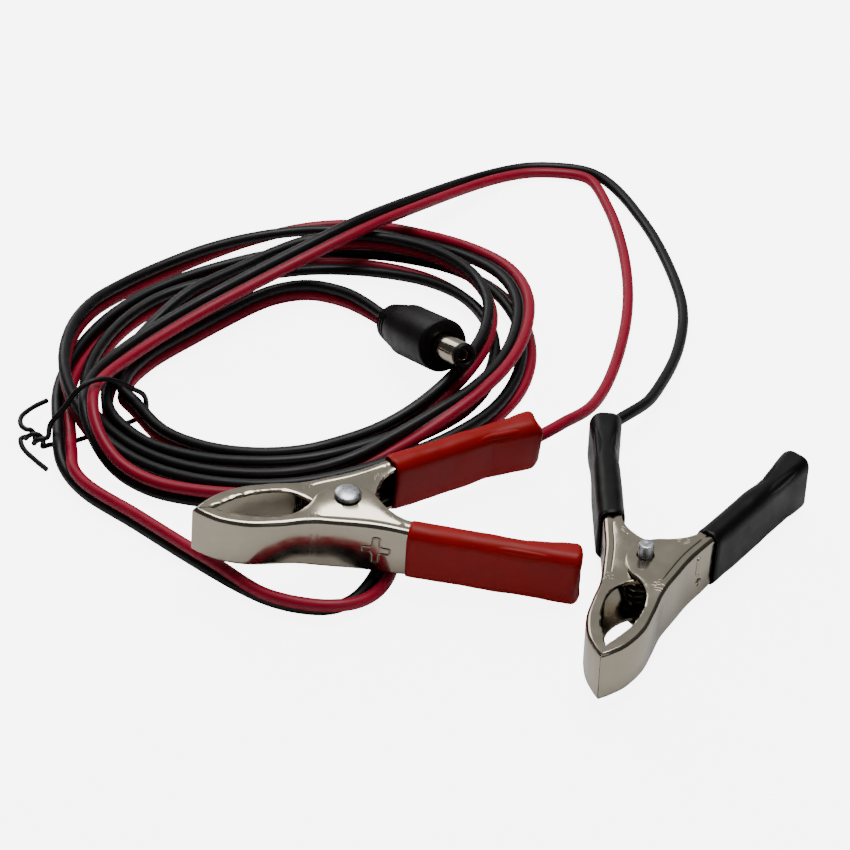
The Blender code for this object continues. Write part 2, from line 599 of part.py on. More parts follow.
def cable(parent, tail, ahead, red_frame, black_frame):
    """Both conductors: to the plug, round the coil and to the clips."""
    coil = coil_line()
    start = tail - FIT_GAP * ahead
    entry = (coil[1] - coil[0]).xyz.normalized()
    leaving = (coil[-1] - coil[-2]).xyz.normalized()
    route = [with_lean(start, PLUG_LEAN), with_lean(start - PLUG_STRAIGHT * ahead, 0.75 * PLUG_LEAN)]
    route += list(PLUG_ROUTE) + [with_lean(coil[0].xyz - JOIN * entry, coil[0].w)]
    to_plug = smooth_line(route, 2, with_lean(start + JOIN * ahead, PLUG_LEAN), coil[0])
    route = [with_lean(coil[-1].xyz + JOIN * leaving, coil[-1].w)] + list(CLIP_ROUTE)
    to_clips = smooth_line(route, 2, coil[-1], FORK_AFTER)
    first, last = len(to_plug), len(to_plug) + len(coil)
    lines = {}
    for colour, line, spec, lead, frame in zip(("black", "red"), conductors(to_plug + coil + to_clips),
                                               (BLACK_PVC, RED_PVC), (BLACK_LEAD, RED_LEAD),
                                               (black_frame, red_frame)):
        turns = line[first:last]
        enter = (turns[0] - turns[1]).normalized()
        leave = (turns[-1] - turns[-2]).normalized()
        plug_end = straight_pair(line[0] + FIT_GAP * ahead, -ahead)
        seat = [frame @ wire_seat(WIRE_SEAT + run) for run in (0.0, *SEAT_RUN)]
        lead_line = smooth_line([line[-1]] + list(lead) + seat[:0:-1], 2, line[-3], seat[0])
        arrival = straight_pair(turns[0], enter)[::-1]
        lines[colour + "_wire_to_plug"] = free_stretch(plug_end, line[:first], arrival)
        lines[colour + "_wire_coil"] = turns
        lines[colour + "_wire_to_clip"] = free_stretch(straight_pair(turns[-1], leave),
                                                       line[last:] + lead_line[1:], [seat[1], seat[0]])
        for name in list(lines)[-3:]:
            tube(name, lines[name], WIRE, 1 if name.endswith("coil") else 2, spec, parent)
        print(colour, "conductor:", round(sum(length_of(lines[n]) for n in list(lines)[-3:])), "mm")
    for name, line in lines.items():
        print("least gap of", name, "to itself:", round(gap_between(line, line), 2), "mm")
    black, red = ([lines[name] for name in lines if name.startswith(colour)] for colour in ("black", "red"))
    least = min(gap_between(one, other) for one in black for other in red)
    print("least gap, black conductor to red conductor:", round(least, 2), "mm")


def wire_tie(parent):
    """Coated wire round the bundle, its ends twisted round each other and left as two tails."""
    heading = radians(COIL_START)
    side = Vector((-cos(heading), -sin(heading), 0))
    middle = Vector((*TIE_MIDDLE, 0))
    loop = [middle + side * x + Vector((0, 0, z)) for x, z in TIE_LOOP]
    root = middle + side * -13.0 + Vector((0, 0, 3.1))
    out = Vector((-0.75, 0.66, 0)).normalized()
    across = Vector((-out.y, out.x, 0))
    strands = []
    for phase in (0.0, pi):
        strand = []
        for step in range(9):
            angle = phase + 2 * pi * step / 8
            swing = sin(angle) * across + cos(angle) * Vector((0, 0, 1))
            strand.append(root + out * (0.9 * step) + 1.0 * swing)
        strands.append(strand)
    upper, lower = strands
    tail_up = [upper[-1] + Vector(p) for p in ((-1.2, 1.6, 0.6), (-0.8, 4.0, 1.4), (1.2, 6.4, 2.2))]
    tail_low = [lower[-1] + Vector(p) for p in ((-1.6, 0.2, -0.4), (-2.6, -3.0, -1.0), (-1.4, -8.6, -1.4),
                                                (0.6, -14.0, -1.4))]
    line = tail_up[::-1] + upper[::-1] + loop + lower + tail_low
    tube("wire_tie", smooth_line(line, 2), TIE_WIRE, 1, BLACK_PVC, parent)


def main():
    clear_scene()
    lead = placed_empty("lead", Matrix.Translation(Vector(LEAD_PLACE)))
    red_frame = frame_at(RED_CLIP_PLACE, RED_CLIP_TURN)
    black_frame = frame_at(BLACK_CLIP_PLACE, BLACK_CLIP_TURN)
    clip("red", red_frame, True, RED_PVC, lead)
    clip("black", black_frame, False, BLACK_PVC, lead)
    tail, ahead = plug(lead)
    cable(lead, tail, ahead, red_frame, black_frame)
    wire_tie(lead)


main()
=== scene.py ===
"""Visual model of a low-voltage battery lead: clips, coiled cable, tie and barrel plug.

Lengths in the shape code are in mm in the layout's own axes; LAYOUT turns them to metres in
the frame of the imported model.  Each clip has x from its rivet to the jaw tips, z along the
rivet, and the moving half on +y.
"""
from math import acos, atan2, cos, pi, radians, sin, tan

import bmesh
import bpy
from bpy.props import FloatProperty, FloatVectorProperty, PointerProperty
from mathutils import Matrix, Vector, noise


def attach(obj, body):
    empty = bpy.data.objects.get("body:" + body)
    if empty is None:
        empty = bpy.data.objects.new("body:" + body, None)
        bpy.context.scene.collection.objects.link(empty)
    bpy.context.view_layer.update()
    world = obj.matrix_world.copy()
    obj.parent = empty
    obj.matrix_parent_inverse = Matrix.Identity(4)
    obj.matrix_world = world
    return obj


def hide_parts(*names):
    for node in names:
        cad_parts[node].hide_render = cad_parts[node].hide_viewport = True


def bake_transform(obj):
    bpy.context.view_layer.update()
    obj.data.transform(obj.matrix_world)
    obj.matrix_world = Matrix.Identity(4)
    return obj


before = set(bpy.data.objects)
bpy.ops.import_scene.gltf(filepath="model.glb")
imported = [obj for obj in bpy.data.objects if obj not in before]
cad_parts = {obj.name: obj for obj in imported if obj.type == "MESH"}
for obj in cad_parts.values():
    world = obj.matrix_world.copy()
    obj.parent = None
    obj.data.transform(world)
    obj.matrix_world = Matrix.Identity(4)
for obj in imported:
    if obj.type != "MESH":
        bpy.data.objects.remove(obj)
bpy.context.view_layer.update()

bl_info = {
    "name": "Battery Clip Lead",
    "version": (1, 0, 0),
    "blender": (4, 5, 0),
    "location": "View3D > Sidebar > Clip Lead",
    "description": "Builds a low-voltage lead with battery clips and a barrel plug",
    "category": "Add Mesh",
}

MM = 0.001
WORLD_LIGHT = 0.07
FLOOR_GLOW = 6.0
NOISE_SPAN = (0.3, 0.7)  # nearly all of a noise's values lie in here

# ---------------------------------------------------------------- places of the pieces, mm
LAYOUT = Matrix.Scale(MM, 4) @ Matrix.Translation((-16.07, 49.51, 0.0))
CLIP_PLACES = {"red": ((-15.4, -44.2, 10.95), (191.3, 4.4, -3.65)),
               "black": ((41.5, -58.65, 7.95), (-109.75, 1.85, -0.3))}
PLUG_FRONT = Vector((3.9, 12.4, 11.7))
PLUG_HEADING = radians(-60.3)
PLUG_RAISED = radians(18.5)

# ---------------------------------------------------------------- clip, mm
FIT_GAP = 0.3
CHANNEL = 11.0
JAW_REACH = 30.0
JAW_LIP = 3.6
LIP_GAP = 0.07           # the lips all but meet; the solids leave them 0.4 mm apart for the hinge test
HANDLE_REACH = 40.0
HANDLE_ANGLE = radians(19.5)
HANDLE_START = 9.0
HANDLE_HEIGHT = 10.9
FLANGE = 3.6
FLARE = 1.3
FLARE_LENGTH = 9.0
EAR_REACH = 3.4
EAR_JOGGLE = 0.55
EAR_RAMP = (5.5, 14.0)
MOUTH_START = 10.5       # the sheared edge of the mouth begins this far ahead of the rivet
EDGE_ROUND = 0.1
SHANK_RADIUS = 1.45
DRILL_LENGTH = 18.0
HEAD_RADIUS = 2.65
HEAD_HEIGHT = 1.1
HEAD_RIM = 0.33          # upright part of the head, under its dome
TAIL_LENGTH = 2.5
SPRING_RADIUS = 3.1
SPRING_TURNS = 4
SPRING_PITCH = 1.5
SPRING_LEG = 15.5
SPRING_STEPS = 36        # points on one turn
SLEEVE_START = 9.8
SLEEVE_OVERHANG = 1.4
WIRE_SEAT = HANDLE_REACH - 7.0
SEAT_RUN = (4.0, 9.6)
SLEEVE_ROUND = 2.6
SLEEVE_BORE_ROUND = 0.9
SLEEVE_ROLL = 1.4        # the last stretch of the sleeve rolls in over the handle's end
SLEEVE_RINGS = 110
LIP_DEPTH = 0.22         # the cut edges are eased by this much
LIP_REACH = 0.7
NECK_AT = 9.5            # a neck this far before the flared end
NECK_DEPTH = 0.24
NECK_REACH = 7.0
MOUTH_CUT = 0.5          # how far the hand-cut ends wander
END_CUT = 1.1
CUT_REACH = 5.0
LONG_SLACK = (0.24, 0.11)                # depth, pace
SHORT_SLACK = (0.08, 0.3)
PLUS_AT = (-4.2, 0.0)    # along the clip, along the rivet
PLUS_SIZE = (3.3, 2.8, 0.85)             # half its height, half its width, half an arm's thickness
MINUS_BAR = (-4.5, 2.4, 1.1, 4.4)        # middle, width along the clip, length
MINUS_DOT = (-4.9, -1.6, 0.95, 0.95)
SIGN_ROUND = 0.6
# steps in from the outline, and heights over the web
SIGN_RIM = ((0.0, -0.12), (0.0, 0.12), (0.07, 0.24), (0.2, 0.26), (0.32, 0.2), (0.44, 0.04))
COINED_DEPTH = 0.14
COINED_SPAN = (9.0, 3.0)                 # the line beside the bend starts and is full here
RIB_STEPS = 7            # rings between two ribs of a pressed half
STROKES_AT = (7.4, 5.3, 0.0)             # press strokes, from the rivet, on both halves and both ways
STROKES_REACH = (1.2, 2.2)               # they fade between these distances from there

# ---------------------------------------------------------------- plug, mm from its front face
PLUG_RADIUS = 5.8
PLUG_LENGTH = 24.0
PLUG_STEP = 15.5
PLUG_ROUND = 0.6
PLUG_TAIL_RADIUS = 4.1
GROOVES = 3
GROOVE_START = 3.4       # behind the step
GROOVE_PITCH = 1.6
GROOVE_INSET = 0.75
GROOVE_TAPER = 0.3
SOCKET_DEPTH = 6.0
BARREL_RADIUS = 2.75
BARREL_LENGTH = 9.5
BARREL_WALL = 0.35
LINER_WALL = 0.5
LINER_PROUD = 0.3
LINER_COLLAR = 0.7       # length of the liner that covers the barrel's front
CONTACT_RADIUS = 1.3
CONTACT_WALL = 0.25
CONTACT_BACK = 1.0       # the contact ends this far short of the barrel

# ---------------------------------------------------------------- cable, on the route in the part's source
TWIN_STEP = 2.7
WEB_HALF_WIDTH = 0.42
WEB_HALF_THICKNESS = 0.26
CORE = 1.3
CORE_LENGTH = 5.4
FERRULE_RADIUS = 1.25
FERRULE_LENGTH = 4.2
LEVEL = 2.65
STOREY = 5.4
JOIN = 5.0
COIL_MIDDLE = (-26.0, 22.0)
COIL_START = 211.0
COIL_REACHES = (40.9, 37.8, 32.6, 37.4, 43.0, 38.6, 28.7, 32.3,
                46.8, 40.8, 36.5, 40.7, 41.1, 35.4, 34.6, 42.5,
                50.0, 44.9, 39.6, 44.2, 51.6, 51.9, 47.2, 49.6,
                53.1, 48.4, 43.4, 47.4, 48.4, 41.3, 38.5, 45.9,
                57.3)
COIL_RISES = ((87, 137, 300, 353, STOREY), (785, 841, 880, 935, STOREY), (1006, 1052, 1059, 1095, STOREY))
COIL_LEANS = ((70, 150, 200, 250, 20), (500, 585, 610, 660, 90), (780, 850, 930, 1010, 110),
              (1190, 1230, 1300, 1340, 50), (1370, 1460, 1500, 1510, -75))
TIE_LIFT = 1.35
TIE_SPAN = (5, 22)
PLUG_STRAIGHT = 4.5
PLUG_LEAN = 20
PLUG_ROUTE = ((-16.7, 42.8, 2.8, 0), (-26.0, 46.6, 2.8, 0), (-35.1, 44.3, 2.7, 0), (-43.5, 37.4, 2.6, 0),
              (-51.6, 29.3, 2.6, 0), (-58.8, 21.5, 2.7, 0), (-63.3, 13.2, 3.3, 0))
CLIP_ROUTE = ((-72.5, -19.7, 3.5, -160), (-67.8, -25.9, 2.8, -180), (-58.8, -33.3, 2.6, -180),
              (-48.5, -42.6, 2.7, -180), (-37.9, -51.6, 2.7, -180), (-30.0, -57.0, 2.7, -180),
              (-22.9, -59.4, 2.7, -182), (-17.2, -59.5, 2.6, -195), (-12.4, -56.9, 2.2, -230),
              (-9.2, -52.4, 1.9, -262), (-7.6, -46.8, 1.7, -270), (-8.0, -40.8, 1.7, -270),
              (-11.4, -34.6, 2.0, -245), (-17.6, -30.9, 2.5, -200),
              (-27.5, -28.6, 2.7, -180), (-41.6, -27.5, 2.6, -180), (-54.0, -24.9, 3.0, -180),
              (-62.6, -20.3, 4.9, -185), (-67.7, -13.6, 8.6, -200), (-69.7, -5.5, 11.2, -230),
              (-69.1, 3.2, 9.8, -262), (-65.8, 11.9, 8.3, -280), (-58.5, 21.8, 8.2, -290),
              (-47.5, 32.4, 9.2, -290), (-35.1, 41.5, 11.2, -290), (-24.3, 49.2, 12.9, -290),
              (-15.3, 57.1, 13.2, -290), (-7.3, 66.3, 11.4, -285), (0.4, 76.7, 8.3, -280),
              (8.3, 87.3, 5.0, -275), (16.6, 95.9, 2.6, -270), (25.2, 100.7, 1.5, -270),
              (33.2, 101.0, 1.3, -270), (40.7, 98.7, 1.3, -270))
EASED_AT = (((41.0, 96.5, 1.3), 16), ((-69.5, -24.0, 2.8), 4))   # a stiff wire bends less sharply here
EASED_REACH = 18.0
PRESSED_AT = ((-23.0, -59.5, 4.0), 22.0, (0.0, -1.1, -0.5))      # the open red jaw swings over here
FORK_AFTER = (45.0, 91.0, 1.3, -270)
LEADS = {"red": ((42.7, 89.4, 1.3), (45.0, 77.5, 1.3), (46.3, 62.9, 1.3), (46.2, 48.0, 1.3),
                 (44.6, 34.0, 1.3), (41.4, 19.0, 2.0), (37.8, 6.8, 3.5), (34.0, -2.0, 5.5),
                 (29.3, -8.6, 7.6)),
         "black": ((46.6, 91.7, 1.4), (50.4, 82.0, 1.3), (53.9, 70.5, 1.3), (56.6, 57.0, 1.3),
                   (58.0, 44.4, 1.3), (57.4, 34.0, 1.3), (54.8, 22.0, 2.0), (50.9, 10.6, 3.5),
                   (47.0, 1.6, 5.0), (42.4, -4.6, 6.4))}
TIE_TWIST = 0.64         # how far the twisted ends go on in an eighth of a turn
TIE_TAILS = (((-1.2, 1.4, 0.2), (-1.4, 4.4, 0.0), (0.4, 8.0, -0.4), (3.0, 11.0, -0.8)),
             ((-1.2, -0.6, -0.3), (-0.2, -3.2, -0.9), (2.6, -6.4, -1.3), (5.2, -9.2, -1.4)))
TIE_MIDDLE = Vector((-68.3, -3.4, 0))
TIE_LOOP = ((-11.6, 4.2), (-10.7, 7.2), (-7.4, 10.0), (-4.6, 12.9), (-1.5, 14.2), (1.6, 14.0),
            (4.6, 12.3), (7.8, 9.3), (10.4, 6.6), (10.9, 3.8), (10.3, 1.8), (7.9, 0.8), (0.0, 0.7),
            (-8.0, 0.8), (-11.2, 1.9))
TIE_ROOT = (-13.0, 3.1)  # where the twist starts: along the loop's plane, up
TIE_OUT = Vector((-0.75, 0.66, 0)).normalized()

# ---------------------------------------------------------------- stage, metres
# name, place, side and watts
SOFTBOXES = (("top_softbox", (0.05, 0.22, 0.95), 0.55, 8.2), ("back_softbox", (-0.5, 0.85, 0.55), 0.5, 2.6),
             ("front_softbox", (0.6, -0.7, 0.65), 0.6, 0.5), ("back_card", (0.0, 1.3, 0.85), 1.7, 3.6))
LIGHT_AIM = Vector((-0.016, 0.03, 0.0))
FLOOR_HALF = 3000        # mm
CAMERA_AIM = Vector((-0.01607, 0.04951, 0.0))
CAMERA_RISE = radians(37.5)
CAMERA_REACH = 0.5002


# ================================================================ settings a user would change
def linear(code):
    """Linear colour of an sRGB hex value."""
    parts = [int(code[i:i + 2], 16) / 255 for i in (1, 3, 5)]
    return tuple(c / 12.92 if c <= 0.04045 else ((c + 0.055) / 1.055) ** 2.4 for c in parts)


def size_property(name, description, mm):
    return FloatProperty(name=name, description=description, default=mm * MM, unit="LENGTH", precision=5)


def colour_property(name, description, code):
    return FloatVectorProperty(name=name, description=description, default=linear(code), size=3,
                               min=0.0, max=1.0, subtype="COLOR")


class LeadSizes(bpy.types.PropertyGroup):
    wire: size_property("Wire", "Diameter of one insulated conductor", 2.5)
    sheet: size_property("Sheet", "Thickness of the clips' pressed steel", 0.8)
    bend: size_property("Bend", "Outer radius of the pressed bends", 1.1)
    sleeve_wall: size_property("Sleeve wall", "Thickness of the soft handle sleeves", 0.7)
    spring_wire: size_property("Spring wire", "Diameter of the spring's wire", 1.0)
    tie_wire: size_property("Tie wire", "Diameter of the coated wire tie", 1.1)


class LeadColours(bpy.types.PropertyGroup):
    nickel: colour_property("Nickel", "Plating of the clips and the barrel", "#B0A796")
    zinc: colour_property("Zinc", "Plating of the rivets and ferrules", "#BEC0C4")
    spring: colour_property("Spring", "Bare spring wire", "#5F584D")
    copper: colour_property("Copper", "Tinned copper strands and contact", "#C8A888")
    red_sleeve: colour_property("Red sleeve", "Soft red sleeves", "#9A0402")
    black_sleeve: colour_property("Black sleeve", "Soft black sleeves", "#050506")
    red_wire: colour_property("Red wire", "Red insulation", "#98022A")
    black_wire: colour_property("Black wire", "Black insulation", "#050507")
    plug: colour_property("Plug", "Moulded plug body", "#040404")
    floor: colour_property("Floor", "Pale floor under the lead", "#F4F4F4")


# ================================================================ materials
def add_node(tree, kind, sockets=None, **settings):
    """Adds a node with its settings; a socket takes either a value or another node's output."""
    node = tree.nodes.new(kind)
    for name, value in settings.items():
        setattr(node, name, value)
    for key, value in (sockets or {}).items():
        if isinstance(value, bpy.types.NodeSocket):
            tree.links.new(value, node.inputs[key])
        else:
            node.inputs[key].default_value = value
    return node


def blank_material(name):
    """A material with only its output; returns it, its tree and its object coordinates."""
    mat = bpy.data.materials.new(name)
    mat.use_nodes = True
    tree = mat.node_tree
    tree.nodes.clear()
    add_node(tree, "ShaderNodeOutputMaterial")
    return mat, tree, add_node(tree, "ShaderNodeTexCoord").outputs["Object"]


def shader(tree, sockets):
    """The surface's shader, joined to the output."""
    surface = add_node(tree, "ShaderNodeBsdfPrincipled", sockets)
    output = next(n for n in tree.nodes if n.type == "OUTPUT_MATERIAL")
    tree.links.new(surface.outputs["BSDF"], output.inputs["Surface"])


def grain(tree, where, size_mm, detail=3.0, stretch=None, roughness=0.5):
    """Noise whose marks are about size_mm across, drawn out along an axis by stretch."""
    if stretch is not None:
        where = add_node(tree, "ShaderNodeMapping", {"Vector": where, "Scale": stretch}).outputs["Vector"]
    return add_node(tree, "ShaderNodeTexNoise", {"Vector": where, "Scale": 1.0 / (size_mm * MM),
                                                 "Detail": detail, "Roughness": roughness}).outputs["Fac"]


def uneven(tree, patch, colour, shares, roughness):
    """Colour and roughness that drift with the noise, the colour between two shares of itself."""
    spread = {"Value": patch, "From Min": NOISE_SPAN[0], "From Max": NOISE_SPAN[1]}
    drift = add_node(tree, "ShaderNodeMapRange", spread).outputs["Result"]
    dark, light = ([min(part * share, 1.0) for part in colour] + [1.0] for share in shares)
    mixed = add_node(tree, "ShaderNodeMix", {"Factor": drift, 6: dark, 7: light}, data_type="RGBA")
    rough = add_node(tree, "ShaderNodeMapRange", {**spread, "To Min": roughness[0], "To Max": roughness[1]})
    return {"Base Color": mixed.outputs[2], "Roughness": rough.outputs["Result"]}


def relief(tree, *layers):
    """Layers of relief, the lowest first, each with its height, its depth in mm and its strength."""
    under = {}
    for height, depth_mm, strength in layers:
        sockets = {"Height": height, "Distance": depth_mm * MM, "Strength": strength, **under}
        under = {"Normal": add_node(tree, "ShaderNodeBump", sockets).outputs["Normal"]}
    return under


def bright_nickel_plate(colour):
    """Bright nickel on pressed steel: mirror-like but faintly rippled, with fine handling scratches
    and the short strokes that the press tool leaves in the bends beside the rivet."""
    mat, tree, where = blank_material("bright_nickel_plate")
    ripple = grain(tree, where, 7.0, 1.0)
    cloud = grain(tree, where, 3.0, 3.0)
    # scratches are about 0.05 mm wide on the real sheet, drawn 0.12 mm wide so that they show
    scratch = grain(tree, where, 0.12, 2.0, (0.05, 1.0, 1.0))
    spot = add_node(tree, "ShaderNodeAttribute", attribute_name="clip_mm").outputs["Vector"]
    metres = add_node(tree, "ShaderNodeVectorMath", {0: spot, "Scale": MM}, operation="SCALE")
    stroke = grain(tree, metres.outputs["Vector"], 0.34, 1.0, (1.0, 0.16, 0.16))
    strokes = add_node(tree, "ShaderNodeMapRange", {"Value": stroke, "From Min": 0.56, "From Max": 0.62})
    # folded over the rivet, so that the strokes come ahead of it and behind it, on both halves
    folded = add_node(tree, "ShaderNodeVectorMath", {0: spot}, operation="ABSOLUTE").outputs["Vector"]
    flat = add_node(tree, "ShaderNodeVectorMath", {0: folded, 1: (1.0, 1.0, 0.0)}, operation="MULTIPLY")
    away = add_node(tree, "ShaderNodeVectorMath", {0: flat.outputs["Vector"], 1: STROKES_AT},
                    operation="DISTANCE").outputs["Value"]
    near = add_node(tree, "ShaderNodeMapRange", {"Value": away, "From Min": STROKES_REACH[0],
                                                 "From Max": STROKES_REACH[1], "To Min": 1.0, "To Max": 0.0})
    struck = add_node(tree, "ShaderNodeMath", {0: strokes.outputs["Result"], 1: near.outputs["Result"]},
                      operation="MULTIPLY").outputs[0]
    shader(tree, {**uneven(tree, cloud, colour, (0.96, 1.03), (0.13, 0.21)), "Metallic": 1.0,
                  **relief(tree, (ripple, 0.05, 0.3), (scratch, 0.003, 0.25), (struck, 0.02, 0.7))})
    return mat


def bright_zinc_plate(colour):
    """Zinc plate on turned steel: paler and duller than the nickel, with faint turning rings."""
    mat, tree, where = blank_material("bright_zinc_plate")
    cloud = grain(tree, where, 0.8, 4.0)
    shader(tree, {**uneven(tree, cloud, colour, (0.8, 1.1), (0.22, 0.42)), "Metallic": 1.0,
                  **relief(tree, (grain(tree, where, 0.3, 3.0), 0.03, 0.5))})
    return mat


def oil_tempered_wire(colour):
    """Drawn spring wire: dark, streaked and half dull."""
    mat, tree, where = blank_material("oil_tempered_wire")
    cloud = grain(tree, where, 0.5, 5.0)
    shader(tree, {**uneven(tree, cloud, colour, (0.55, 1.15), (0.28, 0.5)), "Metallic": 1.0,
                  **relief(tree, (cloud, 0.02, 0.4))})
    return mat


def tinned_copper(colour):
    """Tinned copper: warm, pale and slightly uneven."""
    mat, tree, where = blank_material("tinned_copper")
    cloud = grain(tree, where, 0.4, 4.0)
    shader(tree, {**uneven(tree, cloud, colour, (0.7, 1.0), (0.25, 0.45)), "Metallic": 1.0,
                  **relief(tree, (cloud, 0.02, 0.5))})
    return mat


def soft_pvc(name, colour, roughness, crease_mm):
    """Soft PVC: satin, with cloudy patches of sheen, fine pores and shallow creases."""
    mat, tree, where = blank_material(name)
    patch = grain(tree, where, 6.0, 2.0)
    pores = grain(tree, where, 0.22, 3.0)
    crease = grain(tree, where, 9.0, 1.0, roughness=0.4)
    shader(tree, {**uneven(tree, patch, colour, (0.92, 1.07), (roughness - 0.05, roughness + 0.06)),
                  "Specular IOR Level": 0.2, **relief(tree, (crease, crease_mm, 0.4), (pores, 0.008, 0.35))})
    return mat


def extruded_pvc(name, colour):
    """Extruded PVC insulation: smooth and half glossy, with a faint waviness left by the die."""
    mat, tree, where = blank_material(name)
    patch = grain(tree, where, 6.0, 2.0)
    skin = grain(tree, where, 0.5, 3.0)
    shader(tree, {**uneven(tree, patch, colour, (0.93, 1.07), (0.38, 0.48)), "Specular IOR Level": 0.32,
                  **relief(tree, (skin, 0.012, 0.4))})
    return mat


def moulded_pvc(colour):
    """Plug moulding: matt black from a spark-eroded mould, whose fine pits break up the light."""
    mat, tree, where = blank_material("moulded_pvc")
    pits = grain(tree, where, 0.18, 3.0)
    patch = grain(tree, where, 2.5, 3.0)
    shader(tree, {**uneven(tree, patch, colour, (0.8, 1.25), (0.38, 0.5)), "Specular IOR Level": 0.24,
                  **relief(tree, (pits, 0.02, 0.5))})
    return mat


def studio_floor(colour):
    """Matt white paper, overexposed to the camera alone, so that it throws no glare on the part."""
    mat, tree, where = blank_material("studio_paper")
    fibre = grain(tree, where, 0.8, 3.0)
    seen = add_node(tree, "ShaderNodeLightPath").outputs["Is Camera Ray"]
    drift = add_node(tree, "ShaderNodeMapRange", {"Value": fibre, "From Min": NOISE_SPAN[0],
                                                  "From Max": NOISE_SPAN[1]}).outputs["Result"]
    dark = [0.99 * part for part in colour] + [1.0]
    paper = add_node(tree, "ShaderNodeMix", {"Factor": drift, 6: dark, 7: (*colour, 1.0)}, data_type="RGBA")
    glow = add_node(tree, "ShaderNodeMapRange", {"Value": seen, "To Max": FLOOR_GLOW}).outputs["Result"]
    shader(tree, {"Base Color": paper.outputs[2], "Roughness": 0.95, "Emission Color": (1.0, 1.0, 1.0, 1.0),
                  "Emission Strength": glow})
    return mat


def finish_of(context, name):
    """The material of that name, made the first time it is asked for."""
    tones = context.scene.lead_colours
    makers = {
        "bright_nickel_plate": lambda: bright_nickel_plate(tones.nickel),
        "bright_zinc_plate": lambda: bright_zinc_plate(tones.zinc),
        "oil_tempered_wire": lambda: oil_tempered_wire(tones.spring),
        "tinned_copper": lambda: tinned_copper(tones.copper),
        "soft_red_pvc": lambda: soft_pvc("soft_red_pvc", tones.red_sleeve, 0.42, 0.35),
        "soft_black_pvc": lambda: soft_pvc("soft_black_pvc", tones.black_sleeve, 0.4, 0.35),
        "extruded_red_pvc": lambda: extruded_pvc("extruded_red_pvc", tones.red_wire),
        "extruded_black_pvc": lambda: extruded_pvc("extruded_black_pvc", tones.black_wire),
        "moulded_pvc": lambda: moulded_pvc(tones.plug),
        "studio_paper": lambda: studio_floor(tones.floor),
    }
    return bpy.data.materials.get(name) or makers[name]()


# ================================================================ making pieces
def link(obj, finish, body, nodes=()):
    """Links a piece in its finish, rides it on its body and hides the model's pieces that it stands for.
    A piece given no body rides on none."""
    bpy.context.scene.collection.objects.link(obj)
    obj.data.materials.clear()
    obj.data.materials.append(finish_of(bpy.context, finish))
    if body:
        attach(obj, body)
    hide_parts(*nodes)
    return obj


def mesh_of(name, bm, place, smooth_angle=40.0):
    """Mesh of a bmesh in mm, put in its place, with its doubles merged and its faces outward."""
    bmesh.ops.remove_doubles(bm, verts=bm.verts[:], dist=1e-4)
    bmesh.ops.recalc_face_normals(bm, faces=bm.faces[:])
    bmesh.ops.transform(bm, matrix=LAYOUT @ place, verts=bm.verts[:])
    mesh = bpy.data.meshes.new(name)
    bm.to_mesh(mesh)
    bm.free()
    mesh.shade_smooth()
    mesh.set_sharp_from_angle(angle=radians(smooth_angle))
    return mesh


def shaped(name, bm, place, smooth_angle=40.0):
    """Object of a bmesh in mm, put in its place."""
    return bpy.data.objects.new(name, mesh_of(name, bm, place, smooth_angle))


def ring(bm, points):
    """Closed ring of edges through the points."""
    verts = [bm.verts.new(p) for p in points]
    return [bm.edges.new((a, b)) for a, b in zip(verts, verts[1:] + verts[:1])]


def skinned(bm, rings, capped=True):
    """Bridges neighbouring rings, and closes the first and the last."""
    for near, far in zip(rings, rings[1:]):
        bmesh.ops.bridge_loops(bm, edges=near + far)
    if capped:
        for end in (rings[0], rings[-1]):
            bmesh.ops.contextual_create(bm, geom=end)


def revolved(profile, steps=96, closed=False):
    """Turned piece from a (radius, height) profile; a closed profile makes a ring."""
    bm = bmesh.new()
    verts = [bm.verts.new((r, 0, z)) for r, z in profile]
    pairs = list(zip(verts, verts[1:])) + ([(verts[-1], verts[0])] if closed else [])
    edges = [bm.edges.new(pair) for pair in pairs]
    bmesh.ops.spin(bm, geom=verts + edges, cent=(0, 0, 0), axis=(0, 0, 1), angle=2 * pi,
                   steps=steps, use_merge=True)
    return bm


def smooth_line(points, steps, before=None, after=None):
    """Catmull-Rom curve through the points; 'before' and 'after' only set its end directions."""
    pts = [Vector(p) for p in points]
    first = 2 * pts[0] - pts[1] if before is None else Vector(before)
    last = 2 * pts[-1] - pts[-2] if after is None else Vector(after)
    ends = [first] + pts + [last]
    line = []
    for a, b, c, d in zip(ends, ends[1:], ends[2:], ends[3:]):
        for step in range(steps):
            t = step / steps
            line.append(0.5 * (2 * b + (c - a) * t + (2 * a - 5 * b + 4 * c - d) * t ** 2
                               + (3 * b - 3 * c + d - a) * t ** 3))
    line.append(pts[-1])
    return line


def wire_curve(name, line, place, diameter, resolution=5):
    """Round wire along points in mm; diameter in metres."""
    curve = bpy.data.curves.new(name, "CURVE")
    curve.dimensions = "3D"
    curve.bevel_depth = diameter / 2
    curve.bevel_resolution = resolution
    curve.use_fill_caps = True
    spline = curve.splines.new("POLY")
    spline.points.add(len(line) - 1)
    for slot, point in zip(spline.points, line):
        slot.co = (*(LAYOUT @ place @ Vector(point)), 1.0)
    spline.use_smooth = True
    return bpy.data.objects.new(name, curve)


def clip_frame(colour):
    place, turn = CLIP_PLACES[colour]
    heading, raised, roll = (radians(angle) for angle in turn)
    return (Matrix.Translation(Vector(place)) @ Matrix.Rotation(heading, 4, "Z")
            @ Matrix.Rotation(-raised, 4, "Y") @ Matrix.Rotation(roll, 4, "X"))


def plug_frame():
    ahead = plug_ahead()
    return Matrix.Translation(PLUG_FRONT) @ ahead.to_track_quat("Z", "Y").to_matrix().to_4x4()


def plug_ahead():
    level = cos(PLUG_RAISED)
    return Vector((level * cos(PLUG_HEADING), level * sin(PLUG_HEADING), sin(PLUG_RAISED)))


